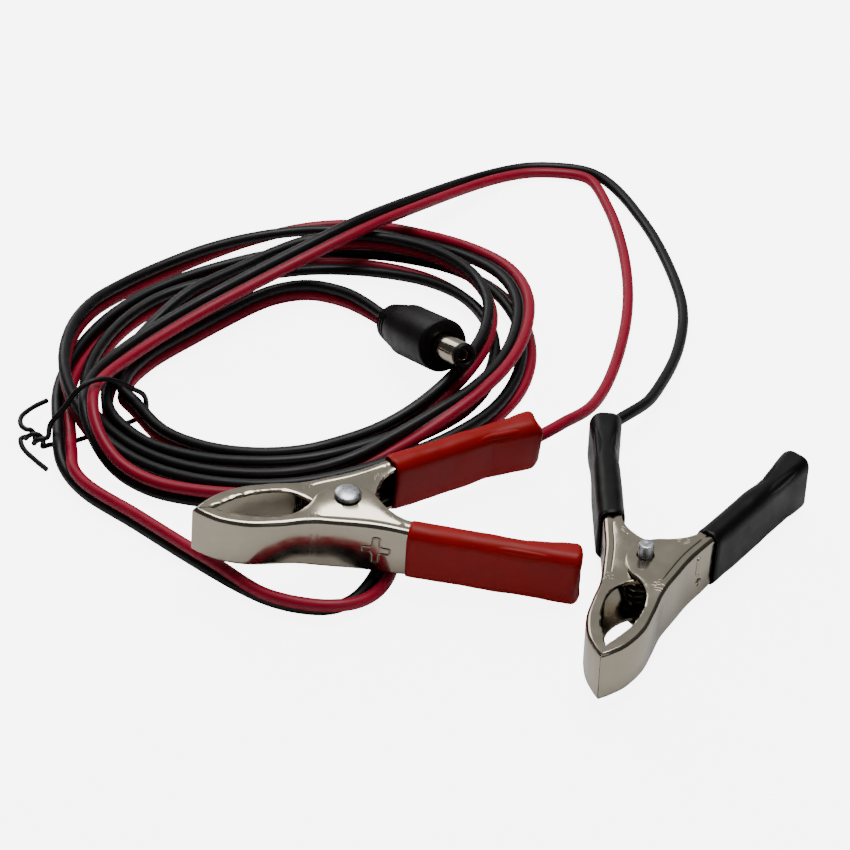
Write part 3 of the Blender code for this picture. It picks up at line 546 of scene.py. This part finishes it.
# ================================================================ clip halves
def handle_point(along, depth):
    """Point on the +y handle: 'along' behind the rivet, 'depth' in from its outer edge."""
    rise = HANDLE_HEIGHT + (along - HANDLE_START) * tan(HANDLE_ANGLE)
    return (-along - depth * sin(HANDLE_ANGLE), rise - depth * cos(HANDLE_ANGLE))


def half_ribs():
    """Outer and inner edge of the half's flanges, from tip to handle end."""
    ribs = [((JAW_REACH, LIP_GAP), (JAW_REACH - JAW_LIP, LIP_GAP)),
            ((JAW_REACH - 1.7, 1.7), (JAW_REACH - 5.4, 1.0)),
            ((JAW_REACH - 5.0, 4.0), (JAW_REACH - 8.4, 2.4)),
            ((JAW_REACH - 10.0, 5.7), (18.4, 3.3)),
            ((14.8, 6.1), (14.2, 3.7)),
            ((10.0, 6.2), (10.3, 3.1)),
            ((7.0, 6.6), (7.6, 1.2)),
            ((4.6, 7.1), (5.8, -1.2)),
            ((2.4, 7.6), (2.8, -EAR_REACH + 0.3)),
            ((0.0, 8.1), (-0.2, -EAR_REACH)),
            ((-2.4, 8.7), (-3.2, -EAR_REACH + 0.9)),
            ((-4.6, 9.4), (-5.4, 0.2)),
            ((-6.6, 10.1), (-6.8, 3.5)),
            (handle_point(HANDLE_START, 0), handle_point(HANDLE_START - 1.2, FLANGE + 0.5)),
            (handle_point(HANDLE_START + 3, 0), handle_point(HANDLE_START + 3, FLANGE))]
    for share, extra in ((0.0, 0.0), (0.35, 0.45), (0.7, 0.85), (1.0, 1.0)):
        along = HANDLE_REACH - FLARE_LENGTH * (1 - share)
        ribs.append((handle_point(along, 0), handle_point(along, FLANGE + FLARE * extra)))
    return ribs


def half_lines():
    ribs = half_ribs()
    return smooth_line([r[0] for r in ribs], RIB_STEPS), smooth_line([r[1] for r in ribs], RIB_STEPS)


def burr(along, side, spread=0.16, pace=0.9):
    """How far the sheared edge of the mouth wanders at a place along the clip."""
    if not MOUTH_START < along < JAW_REACH - JAW_LIP:
        return 0.0
    return spread * noise.noise(Vector((along * pace, side * 7.0, 0.3)))


def channel_section(outer, inner, normal, joggle, side, sizes):
    """Closed U-shaped section between an outer and an inner edge point."""
    inward = (inner - outer).normalized()
    depth = (inner - outer).length + burr(inner.x, side)
    sheet = sizes.sheet / MM
    wall = sheet / max(abs(inward.dot(normal)), 0.5)
    radius = min(sizes.bend / MM, depth * 0.6)
    half = CHANNEL / 2
    bend = [pi / 2 * i / 6 for i in range(7)]
    corner = [(radius * (1 - sin(a)), half - radius * (1 - cos(a))) for a in bend]
    # a coined line beside the bend, and a rim that the shears left burnished and uneven
    line = COINED_DEPTH * ramped(outer.x, COINED_SPAN)
    rim = burr(inner.x, side + 3, 0.2, 0.8)
    flank = [(depth - 0.05, half + rim - 0.12), (depth - 0.35, half + rim), (depth - 1.2, half)]
    flank += [(radius + 1.1, half), (radius + 0.85, half - line), (radius + 0.6, half)]
    if depth < radius + 3.4:
        flank = [(depth + (radius - depth) * i / 6, z) for i, (_, z) in enumerate(flank)]
    outside = flank + corner + [(d, -z) for d, z in reversed(corner)] + [(d, -z) for d, z in reversed(flank)]
    crook = [(wall + 0.5, half - sheet), (wall + 0.15, half - sheet - 0.15), (wall, half - sheet - 0.5)]
    inside = [(depth, half - sheet)] + crook + [(d, -z) for d, z in reversed(crook)] + [(depth, sheet - half)]
    loop = []
    for d, z in outside + inside[::-1]:
        place = outer + inward * d
        spread = joggle * (1 - ramped(abs(place.x), EAR_RAMP))
        loop.append(Vector((place.x, side * place.y, z + (spread if z > 0 else -spread))))
    return loop


def ramped(value, span):
    """Smooth step from nothing at the span's first end to one at its last."""
    share = min(max((value - span[0]) / (span[1] - span[0]), 0.0), 1.0)
    return share * share * (3 - 2 * share)


def mark_places(mesh, place):
    """Keeps each point's place on the clip, in mm, for the marks that follow the pressing."""
    back = (LAYOUT @ place).inverted()
    spots = mesh.attributes.new("clip_mm", "FLOAT_VECTOR", "POINT")
    for vert, spot in zip(mesh.vertices, spots.data):
        spot.vector = back @ vert.co


def pressed_half(context, colour, part, side, joggle):
    """One pressing with its jaw, ears and handle, drilled for the rivet, edges softened."""
    outer, inner = half_lines()
    bm = bmesh.new()
    rings = []
    for i, (p, q) in enumerate(zip(outer, inner)):
        along = outer[min(i + 1, len(outer) - 1)] - outer[max(i - 1, 0)]
        normal = Vector((along.y, -along.x)).normalized()
        rings.append(ring(bm, channel_section(p, q, normal, joggle, side, context.scene.lead_sizes)))
    skinned(bm, rings)
    name = colour + "_" + part + "_jaw_plated"
    place = clip_frame(colour)
    blank = bpy.data.objects.new(name + "_blank", mesh_of(name, bm, place, 35.0))
    bore = bmesh.new()
    bmesh.ops.create_cone(bore, cap_ends=True, segments=48, radius1=SHANK_RADIUS + FIT_GAP,
                          radius2=SHANK_RADIUS + FIT_GAP, depth=DRILL_LENGTH)
    drill = bpy.data.objects.new(name + "_drill", mesh_of(name + "_drill", bore, place))
    for obj in (blank, drill):
        context.scene.collection.objects.link(obj)
    hole = blank.modifiers.new("hole", "BOOLEAN")
    hole.solver = "EXACT"
    hole.object = drill
    context.view_layer.update()
    mesh = bpy.data.meshes.new_from_object(blank.evaluated_get(context.evaluated_depsgraph_get()))
    for obj in (blank, drill):
        bpy.data.objects.remove(obj, do_unlink=True)
    mesh.name = name
    mesh.set_sharp_from_angle(angle=radians(35))
    mark_places(mesh, place)
    jaw = link(bpy.data.objects.new(name, mesh), "bright_nickel_plate",
               "lead" if part == "fixed" else colour + "_moving",
               [colour + "_" + part + "_jaw"])
    rounding = jaw.modifiers.new("sheared edges", "BEVEL")
    rounding.width = EDGE_ROUND * MM
    rounding.segments = 2
    rounding.limit_method = "ANGLE"
    rounding.angle_limit = radians(40)
    rounding.harden_normals = False
    return jaw


# ================================================================ struck signs
def web_height(along):
    """Outer face of the moving half's web at a place along the clip."""
    outer, _ = half_lines()
    for a, b in zip(outer, outer[1:]):
        if b.x <= along <= a.x:
            return a.lerp(b, (a.x - along) / (a.x - b.x)).y
    return outer[0].y


def softened(corners, radius, steps=5):
    """Closed outline with each corner replaced by a curve that starts 'radius' before it."""
    points = []
    for before, corner, after in zip(corners[-1:] + corners, corners, corners[1:] + corners[:1]):
        corner = Vector(corner)
        start = corner + (Vector(before) - corner).normalized() * radius
        end = corner + (Vector(after) - corner).normalized() * radius
        for step in range(steps + 1):
            t = step / steps
            points.append(start.lerp(corner, t).lerp(corner.lerp(end, t), t))
    return points


def drawn_in(outline, step):
    """The outline moved inwards, for one that runs against the clock."""
    moved = []
    for before, point, after in zip(outline[-1:] + outline, outline, outline[1:] + outline[:1]):
        along = (after - before).normalized()
        moved.append(point + step * Vector((-along.y, along.x)))
    return moved


def struck_sign(colour, name, outlines):
    """Signs struck into the web: raised rims round sunk faces, laid on its slight curve."""
    bm = bmesh.new()
    for corners in outlines:
        outline = softened(corners, SIGN_ROUND)
        rings = []
        for step, high in SIGN_RIM:
            rings.append(ring(bm, [(x, web_height(x) + high, z) for x, z in drawn_in(outline, step)]))
        skinned(bm, rings)
    return link(shaped(name, bm, clip_frame(colour), 30.0), "bright_nickel_plate", colour + "_moving")


# ================================================================ rivet, spring, sleeves, wire ends
def rivet(colour, head_up):
    """Domed head at one end, and at the other a plain tail with a broken edge."""
    seat = CHANNEL / 2 + EAR_JOGGLE + FIT_GAP
    rise = HEAD_HEIGHT - HEAD_RIM
    arc = [pi / 2 * i / 12 for i in range(13)]
    dome = [(HEAD_RADIUS * sin(a), seat + HEAD_RIM + rise * cos(a)) for a in arc]
    end = -seat - TAIL_LENGTH
    profile = dome + [(HEAD_RADIUS - 0.02, seat + 0.05), (HEAD_RADIUS - 0.1, seat), (SHANK_RADIUS, seat),
                      (SHANK_RADIUS, end + 0.3), (SHANK_RADIUS - 0.12, end + 0.06), (SHANK_RADIUS - 0.3, end),
                      (0.45, end + 0.02), (0, end + 0.12)]
    bm = revolved(profile)
    if not head_up:
        bmesh.ops.rotate(bm, cent=(0, 0, 0), matrix=Matrix.Rotation(pi, 3, "X"), verts=bm.verts[:])
    return link(shaped(colour + "_rivet_plated", bm, clip_frame(colour)), "bright_zinc_plate", "lead",
                [colour + "_rivet"])


def spring(sizes, colour):
    """Torsion spring round the rivet, its legs pressing on the two handles."""
    wire = sizes.spring_wire / MM
    web = handle_point(SPRING_LEG, sizes.sheet / MM / cos(HANDLE_ANGLE) + FIT_GAP + wire / 2)
    far = Vector(web)
    leave = atan2(far.y, far.x) - acos(SPRING_RADIUS / far.length)
    total = 2 * pi * SPRING_TURNS + 2 * leave
    rise = SPRING_PITCH * total / (2 * pi)
    count = round(total / (2 * pi) * SPRING_STEPS)
    line = [Vector((far.x, -far.y, -rise / 2))]
    for i in range(count + 1):
        angle = -leave + total * i / count
        height = rise * (i / count - 0.5)
        line.append(Vector((SPRING_RADIUS * cos(angle), SPRING_RADIUS * sin(angle), height)))
    line.append(Vector((far.x, far.y, rise / 2)))
    drawn = wire_curve(colour + "_spring_line", line, clip_frame(colour), sizes.spring_wire, 4)
    mesh = bpy.data.meshes.new_from_object(drawn)
    bpy.data.objects.remove(drawn)
    wound = link(bpy.data.objects.new(colour + "_spring_wire", mesh), "oil_tempered_wire", None,
                 [colour + "_spring"])
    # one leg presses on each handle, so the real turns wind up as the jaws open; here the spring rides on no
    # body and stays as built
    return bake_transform(wound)


def rounded_loop(centre, across, width, height, radius, corner=6):
    """Rounded rectangle: width along 'across' in the plan, height along z."""
    loop = []
    for quadrant, (sx, sz) in enumerate(((1, 1), (-1, 1), (-1, -1), (1, -1))):
        for step in range(corner + 1):
            angle = pi / 2 * (quadrant + step / corner)
            dx = sx * (width / 2 - radius) + radius * cos(angle)
            dz = sz * (height / 2 - radius) + radius * sin(angle)
            loop.append(Vector((centre.x + across.x * dx, centre.y + across.y * dx, dz)))
    return loop


def sleeve(thickness, colour, part, side, seed):
    """Soft PVC tube pushed over the handle: flared with it, a little slack, cut by hand at its ends."""
    wall = thickness / MM
    end = HANDLE_REACH + SLEEVE_OVERHANG
    across = Vector((sin(HANDLE_ANGLE), side * cos(HANDLE_ANGLE)))
    along = Vector((-cos(HANDLE_ANGLE), side * sin(HANDLE_ANGLE), 0))
    outside, inside = [], []
    for step in range(SLEEVE_RINGS + 1):
        station = SLEEVE_START + (end - SLEEVE_START) * step / SLEEVE_RINGS
        flare = max(station - HANDLE_REACH + FLARE_LENGTH, 0.0) / FLARE_LENGTH
        depth = FLANGE + FLARE * min(flare, 1.0) ** 0.8
        mid_x, mid_y = handle_point(station, depth / 2)
        centre = Vector((mid_x, side * mid_y))
        near_end = min(station - SLEEVE_START, end - station)
        lip = LIP_DEPTH * max(0.0, 1 - near_end / LIP_REACH) ** 2
        rolled = max(0.0, 1 - (end - station) / SLEEVE_ROLL)
        roll = SLEEVE_ROLL * (1 - (1 - rolled * rolled) ** 0.5) * 0.85
        neck = NECK_DEPTH * max(0.0, 1 - ((end - NECK_AT - station) / NECK_REACH) ** 2) ** 2
        skin = 2 * (FIT_GAP + wall - lip - roll - neck)
        room = 2 * (FIT_GAP - roll)
        outer = rounded_loop(centre, across, depth + skin, CHANNEL + skin, SLEEVE_ROUND - 0.4 * roll, 9)
        inner = rounded_loop(centre, across, depth + room, CHANNEL + room, SLEEVE_BORE_ROUND, 9)
        cut = MOUTH_CUT if station - SLEEVE_START < end - station else END_CUT
        fade = max(0.0, 1 - near_end / CUT_REACH)
        for loop, shape in ((outside, outer), (inside, inner)):
            loop.append([point + along * cut * fade * wander(point, seed, 0.22) for point in shape])
    for loop in outside:
        middle = sum(loop, Vector()) / len(loop)
        for point in loop:
            # the slack only draws in, so the sleeve stays in the space of its solid
            slack = sum(share * (wander(point, start, pace) - 0.5)
                        for (share, pace), start in ((LONG_SLACK, seed), (SHORT_SLACK, seed + 9)))
            point -= (middle - point).normalized() * min(slack, 0.0)
    bm = bmesh.new()
    rings = [ring(bm, loop) for loop in outside + inside[::-1]]
    skinned(bm, rings, False)
    bmesh.ops.bridge_loops(bm, edges=rings[-1] + rings[0])
    return link(shaped(colour + "_" + part + "_sleeve_soft", bm, clip_frame(colour), 60.0),
                "soft_" + colour + "_pvc", "lead" if part == "fixed" else colour + "_moving",
                [colour + "_" + part + "_sleeve"])


def wander(point, seed, pace):
    """Smooth noise of about one either way at a point, quicker with the pace."""
    return noise.noise(Vector((point.x * pace, point.y * pace + 5.0 * seed, point.z * pace)))


def wire_seat(along, sizes):
    """Middle of the wire in the fixed handle, laid on its web."""
    x, y = handle_point(along, sizes.sheet / MM + FIT_GAP + sizes.wire / MM / 2)
    return Vector((x, -y, 0))


def wire_end(sizes, colour):
    """Bare core and the ferrule crimped round it, inside the fixed handle."""
    inward = (wire_seat(WIRE_SEAT - 1, sizes) - wire_seat(WIRE_SEAT, sizes)).normalized()
    start = wire_seat(WIRE_SEAT, sizes) + FIT_GAP * inward
    seat = clip_frame(colour)
    link(wire_curve(colour + "_core_strands", [start, start + CORE_LENGTH * inward], seat, CORE * MM, 4),
         "tinned_copper", "lead", [colour + "_core"])
    outer, bore, long = FERRULE_RADIUS, CORE / 2 + FIT_GAP, FERRULE_LENGTH
    bm = revolved([(bore, 0), (outer - 0.05, 0), (outer, 0.1), (outer, 2.0), (outer - 0.1, 2.3), (outer, 2.6),
                   (outer, long - 0.1), (outer - 0.05, long), (bore, long)], 48, True)
    turn = inward.to_track_quat("Z", "Y").to_matrix().to_4x4()
    place = seat @ Matrix.Translation(start + FIT_GAP * inward) @ turn
    link(shaped(colour + "_ferrule_crimped", bm, place), "bright_zinc_plate", "lead",
         [colour + "_ferrule"])


# ================================================================ plug
def plug_pieces():
    """Moulded body with its grooves, the plated barrel, its liner and the centre contact."""
    socket = BARREL_RADIUS + FIT_GAP
    profile = [(0, -SOCKET_DEPTH), (socket, -SOCKET_DEPTH), (socket, -0.12), (socket + 0.12, 0),
               (PLUG_RADIUS - PLUG_ROUND, 0)]
    flat_end = PLUG_RADIUS - PLUG_ROUND
    for i in range(1, 7):
        turn = pi / 2 * i / 6
        profile.append((flat_end + PLUG_ROUND * sin(turn), -PLUG_ROUND + PLUG_ROUND * cos(turn)))
    profile += [(PLUG_RADIUS, -PLUG_STEP + 0.25), (PLUG_RADIUS - 0.08, -PLUG_STEP),
                (PLUG_RADIUS - 0.4, -PLUG_STEP - 0.2)]
    for i in range(GROOVES):
        top = -PLUG_STEP - GROOVE_START - i * GROOVE_PITCH
        radius = PLUG_RADIUS - GROOVE_INSET - GROOVE_TAPER * i
        profile += [(radius + 0.02, top + 0.15), (radius - 0.08, top), (radius - 0.42, top - 0.12),
                    (radius - 0.5, top - 0.3), (radius - 0.55, top - 0.7), (radius - 0.45, top - 0.88),
                    (radius - 0.2, top - 0.96)]
    profile += [(PLUG_TAIL_RADIUS + 0.05, -PLUG_LENGTH + 1.2), (PLUG_TAIL_RADIUS - 0.1, -PLUG_LENGTH + 0.6),
                (PLUG_TAIL_RADIUS - 0.5, -PLUG_LENGTH + 0.15), (PLUG_TAIL_RADIUS - 0.9, -PLUG_LENGTH),
                (0, -PLUG_LENGTH)]
    place = plug_frame()
    pieces = [link(shaped("plug_moulding", revolved(profile), place, 50.0), "moulded_pvc", "lead",
                   ["plug_body"])]
    foot = -SOCKET_DEPTH + FIT_GAP
    liner = BARREL_RADIUS - BARREL_WALL - FIT_GAP
    rim = BARREL_LENGTH - LINER_COLLAR
    rings = (("plug_barrel_plated", BARREL_RADIUS, BARREL_WALL, rim, "bright_nickel_plate",
              "nickel_plated_steel", "plug_barrel"),
             ("plug_contact_sleeve", CONTACT_RADIUS, CONTACT_WALL, BARREL_LENGTH - CONTACT_BACK,
              "tinned_copper", "tinned_copper", "plug_contact"))
    face = BARREL_LENGTH + LINER_PROUD
    bore = liner - LINER_WALL
    collar = revolved([(bore, foot), (liner, foot), (liner, rim + 0.04), (BARREL_RADIUS - 0.05, rim + 0.04),
                       (BARREL_RADIUS - 0.02, rim + 0.15), (BARREL_RADIUS - 0.05, face - 0.3),
                       (BARREL_RADIUS - 0.35, face), (bore + 0.15, face), (bore, face - 0.15)], 96, True)
    pieces.append(link(shaped("plug_liner_ring", collar, place), "moulded_pvc", "lead",
                       ["plug_liner"]))
    for name, radius, wall, high, finish, slot, node in rings:
        lip = wall / 3
        bm = revolved([(radius - wall, foot), (radius, foot), (radius, high - lip),
                       (radius - lip * 0.3, high - lip * 0.3), (radius - lip, high),
                       (radius - wall + lip, high), (radius - wall, high - lip)], 96, True)
        pieces.append(link(shaped(name, bm, place), finish, "lead", [node]))
    return pieces


# ================================================================ cable
def eased(angle, spans):
    """Sum of the smooth rises that hold at an angle, each from nothing to full and back."""
    total = 0.0
    for start, full, leave, end, amount in spans:
        share = max(min((angle - start) / (full - start), (end - angle) / (end - leave), 1.0), 0.0)
        total += amount * share * share * (3 - 2 * share)
    return total


def coil_line():
    """Middle of the twin round the coil's turns, with its lean, from tie to tie."""
    near, far = TIE_SPAN
    lifts = [(turn - far, turn - near, turn + near, turn + far, TIE_LIFT) for turn in range(0, 1441, 360)]
    reaches = smooth_line([(reach, 0) for reach in COIL_REACHES], 3, (28.0, 0), (70.0, 0))
    line = []
    for i, reach in enumerate(reaches):
        angle = 15.0 * i
        heading = radians(COIL_START + angle)
        height = LEVEL + eased(angle, COIL_RISES) + eased(angle, lifts)
        line.append(Vector((COIL_MIDDLE[0] + reach.x * cos(heading), COIL_MIDDLE[1] + reach.x * sin(heading),
                            height, eased(angle, COIL_LEANS))))
    return line


def conductors(line):
    """The black and the red conductor's own lines, either side of the twin's middle."""
    black, red = [], []
    for i, point in enumerate(line):
        ahead = (line[min(i + 1, len(line) - 1)] - line[max(i - 1, 0)]).xyz.normalized()
        left = Vector((-ahead.y, ahead.x, 0)).normalized()
        up = ahead.cross(left)
        up = up if up.z > 0 else -up
        lean = radians(point.w)
        step = TWIN_STEP / 2 * (cos(lean) * up + sin(lean) * left)
        black.append(point.xyz + step)
        red.append(point.xyz - step)
    return black, red


def with_lean(point, lean):
    return Vector((*point, lean))


def spaced(line, least):
    """The line without points closer to the one before than the least step."""
    kept = [line[0]]
    for point in line[1:]:
        if (point - kept[-1]).length > least:
            kept.append(point)
    return kept


def eased_near(line, place, reach, passes):
    """The line with its bends eased near a place, and as it was elsewhere."""
    shares = [0.5 * (1 - ramped((point - Vector(place)).length, (reach / 2, reach))) for point in line]
    for _ in range(passes):
        inner = [b.lerp((a + c) / 2, share) for a, b, c, share in zip(line, line[1:], line[2:], shares[1:])]
        line = line[:1] + inner + line[-1:]
    return line


def pressed_near(line, place, reach, push):
    """The line pushed aside near a place, and as it was elsewhere."""
    shares = [1 - ramped((point - Vector(place)).length, (reach / 3, reach)) for point in line]
    return [point + share * Vector(push) for point, share in zip(line, shares)]


def cable_lines(sizes):
    """Each conductor from its clip to the plug, and the twin's two sides up to the fork."""
    coil = coil_line()
    ahead = plug_ahead()
    start = PLUG_FRONT - PLUG_LENGTH * ahead - FIT_GAP * ahead
    entry = (coil[1] - coil[0]).xyz.normalized()
    leaving = (coil[-1] - coil[-2]).xyz.normalized()
    route = [with_lean(start, PLUG_LEAN), with_lean(start - PLUG_STRAIGHT * ahead, 0.75 * PLUG_LEAN)]
    route += list(PLUG_ROUTE) + [with_lean(coil[0].xyz - JOIN * entry, coil[0].w)]
    to_plug = smooth_line(route, 2, with_lean(start + JOIN * ahead, PLUG_LEAN), coil[0])
    route = [with_lean(coil[-1].xyz + JOIN * leaving, coil[-1].w)] + list(CLIP_ROUTE)
    to_clips = smooth_line(route, 2, coil[-1], FORK_AFTER)
    sides = dict(zip(("black", "red"), conductors(to_plug + coil + to_clips)))
    whole = {}
    for colour, line in sides.items():
        seat = [clip_frame(colour) @ wire_seat(WIRE_SEAT + run, sizes) for run in (0, *SEAT_RUN)]
        lead = smooth_line([line[-1]] + list(LEADS[colour]) + seat[:0:-1], 2, line[-3], seat[0])
        whole[colour] = smooth_line(spaced(line + lead[1:] + [seat[0]], 1.2), 4)[::-1]
        for place, passes in EASED_AT:
            whole[colour] = eased_near(whole[colour], place, EASED_REACH, passes)
    whole["red"] = pressed_near(whole["red"], *PRESSED_AT)
    return whole, sides


def cable(sizes, plug):
    """Both conductors as unbroken wires, and the thin web that joins them up to the fork."""
    whole, sides = cable_lines(sizes)
    diameter = sizes.wire
    web = web_strip(sides)
    for colour, line in whole.items():
        obj = wire_curve(colour + "_conductor", line, Matrix(), diameter, 6)
        link(obj, "extruded_" + colour + "_pvc", "lead",
             [colour + "_wire_" + part for part in ("to_plug", "coil", "to_clip")])


def web_strip(sides):
    """Thin web between the conductors of the twin."""
    black, red = (smooth_line(sides[colour], 4) for colour in ("black", "red"))
    bm = bmesh.new()
    rings = []
    for i in range(2, len(black)):
        middle, apart = (black[i] + red[i]) / 2, (black[i] - red[i]).normalized()
        ahead = (black[i] - black[i - 1] + red[i] - red[i - 1]).normalized()
        flat = apart.cross(ahead).normalized()
        rings.append(ring(bm, [middle + WEB_HALF_WIDTH * x * apart + WEB_HALF_THICKNESS * y * flat
                               for x, y in ((1, 1), (-1, 1), (-1, -1), (1, -1))]))
    skinned(bm, rings)
    return link(shaped("twin_web", bm, Matrix(), 60.0), "extruded_black_pvc", "lead")


def tie(thickness):
    """Coated wire round the bundle, its ends twisted round each other and left as tails."""
    heading = radians(COIL_START)
    side = Vector((-cos(heading), -sin(heading), 0))
    loop = [TIE_MIDDLE + side * x + Vector((0, 0, z)) for x, z in TIE_LOOP]
    root = TIE_MIDDLE + side * TIE_ROOT[0] + Vector((0, 0, TIE_ROOT[1]))
    across = Vector((-TIE_OUT.y, TIE_OUT.x, 0))
    strands = []
    for phase in (0.0, pi):
        strands.append([root + TIE_OUT * (TIE_TWIST * step) + sin(phase + pi * step / 4) * across
                        + Vector((0, 0, cos(phase + pi * step / 4))) for step in range(9)])
    upper, lower = strands
    tail_up = [upper[-1] + Vector(p) for p in TIE_TAILS[0]]
    tail_low = [lower[-1] + Vector(p) for p in TIE_TAILS[1]]
    line = smooth_line(tail_up[::-1] + upper[::-1] + loop + lower + tail_low, 7)
    link(wire_curve("tie_coated_wire", line, Matrix(), thickness, 4), "extruded_black_pvc", "lead",
         ["wire_tie"])


# ================================================================ operators
class LEAD_OT_stage(bpy.types.Operator):
    """Pale floor, soft studio lights and the camera"""
    bl_idname = "lead.stage"
    bl_label = "Stage"

    def execute(self, context):
        bm = bmesh.new()
        bmesh.ops.create_grid(bm, x_segments=1, y_segments=1, size=FLOOR_HALF)
        floor = shaped("studio_floor", bm, Matrix())
        context.scene.collection.objects.link(floor)
        floor.data.materials.append(finish_of(context, "studio_paper"))
        for name, place, size, watts in SOFTBOXES:
            data = bpy.data.lights.new(name, "AREA")
            data.shape = "SQUARE"
            data.size = size
            data.energy = watts
            lamp = bpy.data.objects.new(name, data)
            lamp.location = place
            lamp.rotation_euler = (LIGHT_AIM - Vector(place)).to_track_quat("-Z", "Y").to_euler()
            context.scene.collection.objects.link(lamp)
        world = bpy.data.worlds.new("studio")
        world.use_nodes = True
        world.node_tree.nodes["Background"].inputs["Color"].default_value = (1, 1, 1, 1)
        world.node_tree.nodes["Background"].inputs["Strength"].default_value = WORLD_LIGHT
        context.scene.world = world
        data = bpy.data.cameras.new("camera")
        data.sensor_width = 36.0
        data.lens = 100.0
        data.clip_start = 0.01
        data.clip_end = 20.0
        eye = bpy.data.objects.new("camera", data)
        eye.location = CAMERA_AIM + CAMERA_REACH * Vector((0, -cos(CAMERA_RISE), sin(CAMERA_RISE)))
        eye.rotation_euler = (radians(90) - CAMERA_RISE, 0, 0)
        context.scene.collection.objects.link(eye)
        context.scene.camera = eye
        return {"FINISHED"}


class LEAD_OT_plug_and_cable(bpy.types.Operator):
    """Barrel plug, and the twin cable from the clips to it"""
    bl_idname = "lead.plug_and_cable"
    bl_label = "Plug and Cable"

    def execute(self, context):
        cable(context.scene.lead_sizes, plug_pieces())
        return {"FINISHED"}


class LEAD_OT_tie(bpy.types.Operator):
    """Wire tie round the coil"""
    bl_idname = "lead.tie"
    bl_label = "Tie"

    def execute(self, context):
        tie(context.scene.lead_sizes.tie_wire)
        return {"FINISHED"}


class LEAD_OT_jaws(bpy.types.Operator):
    """Pressed halves of the clips"""
    bl_idname = "lead.jaws"
    bl_label = "Jaws"

    def execute(self, context):
        for colour in CLIP_PLACES:
            pressed_half(context, colour, "fixed", -1, -EAR_JOGGLE)
            pressed_half(context, colour, "moving", 1, EAR_JOGGLE)
        return {"FINISHED"}


def block(x, z, wide, high):
    """Corners of a rectangle round a middle, against the clock."""
    return [(x + wide / 2, z + high / 2), (x - wide / 2, z + high / 2), (x - wide / 2, z - high / 2),
            (x + wide / 2, z - high / 2)]


class LEAD_OT_signs(bpy.types.Operator):
    """Plus and minus signs struck into the moving halves"""
    bl_idname = "lead.signs"
    bl_label = "Signs"

    def execute(self, context):
        x, z = PLUS_AT
        long, wide, half = PLUS_SIZE
        plus = [(x + half, z + long), (x - half, z + long), (x - half, z + half), (x - wide, z + half),
                (x - wide, z - half), (x - half, z - half), (x - half, z - long), (x + half, z - long),
                (x + half, z - half), (x + wide, z - half), (x + wide, z + half), (x + half, z + half)]
        struck_sign("red", "plus_sign", [plus])
        struck_sign("black", "minus_sign", [block(*MINUS_BAR), block(*MINUS_DOT)])
        return {"FINISHED"}


class LEAD_OT_fasteners(bpy.types.Operator):
    """Rivets, springs and wire ends"""
    bl_idname = "lead.fasteners"
    bl_label = "Rivets and Springs"

    def execute(self, context):
        for colour in CLIP_PLACES:
            rivet(colour, colour == "red")
            spring(context.scene.lead_sizes, colour)
            wire_end(context.scene.lead_sizes, colour)
        return {"FINISHED"}


class LEAD_OT_sleeves(bpy.types.Operator):
    """Soft sleeves on the handles"""
    bl_idname = "lead.sleeves"
    bl_label = "Sleeves"

    def execute(self, context):
        wall = context.scene.lead_sizes.sleeve_wall
        for seed, colour in enumerate(CLIP_PLACES):
            sleeve(wall, colour, "fixed", -1, 2 * seed)
            sleeve(wall, colour, "moving", 1, 2 * seed + 1)
        return {"FINISHED"}


OPERATORS = (LEAD_OT_stage, LEAD_OT_plug_and_cable, LEAD_OT_tie, LEAD_OT_jaws, LEAD_OT_signs,
             LEAD_OT_fasteners, LEAD_OT_sleeves)


class LEAD_PT_sidebar(bpy.types.Panel):
    """Lists the lead's pieces"""
    bl_idname = "LEAD_PT_sidebar"
    bl_label = "Clip Lead"
    bl_space_type = "VIEW_3D"
    bl_region_type = "UI"
    bl_category = "Clip Lead"

    def draw(self, context):
        for settings in (context.scene.lead_sizes, context.scene.lead_colours):
            box = self.layout.box()
            for name in type(settings).__annotations__:
                box.prop(settings, name)
        for operator in OPERATORS:
            self.layout.operator(operator.bl_idname)


CLASSES = (LeadSizes, LeadColours) + OPERATORS + (LEAD_PT_sidebar,)


def register():
    for cls in CLASSES:
        bpy.utils.register_class(cls)
    bpy.types.Scene.lead_sizes = PointerProperty(type=LeadSizes)
    bpy.types.Scene.lead_colours = PointerProperty(type=LeadColours)


def unregister():
    del bpy.types.Scene.lead_colours
    del bpy.types.Scene.lead_sizes
    for cls in reversed(CLASSES):
        bpy.utils.unregister_class(cls)


def main():
    register()
    bpy.ops.lead.stage()
    bpy.ops.lead.plug_and_cable()
    bpy.ops.lead.tie()
    bpy.ops.lead.jaws()
    bpy.ops.lead.signs()
    bpy.ops.lead.fasteners()
    bpy.ops.lead.sleeves()


if __name__ == "__main__":
    main()
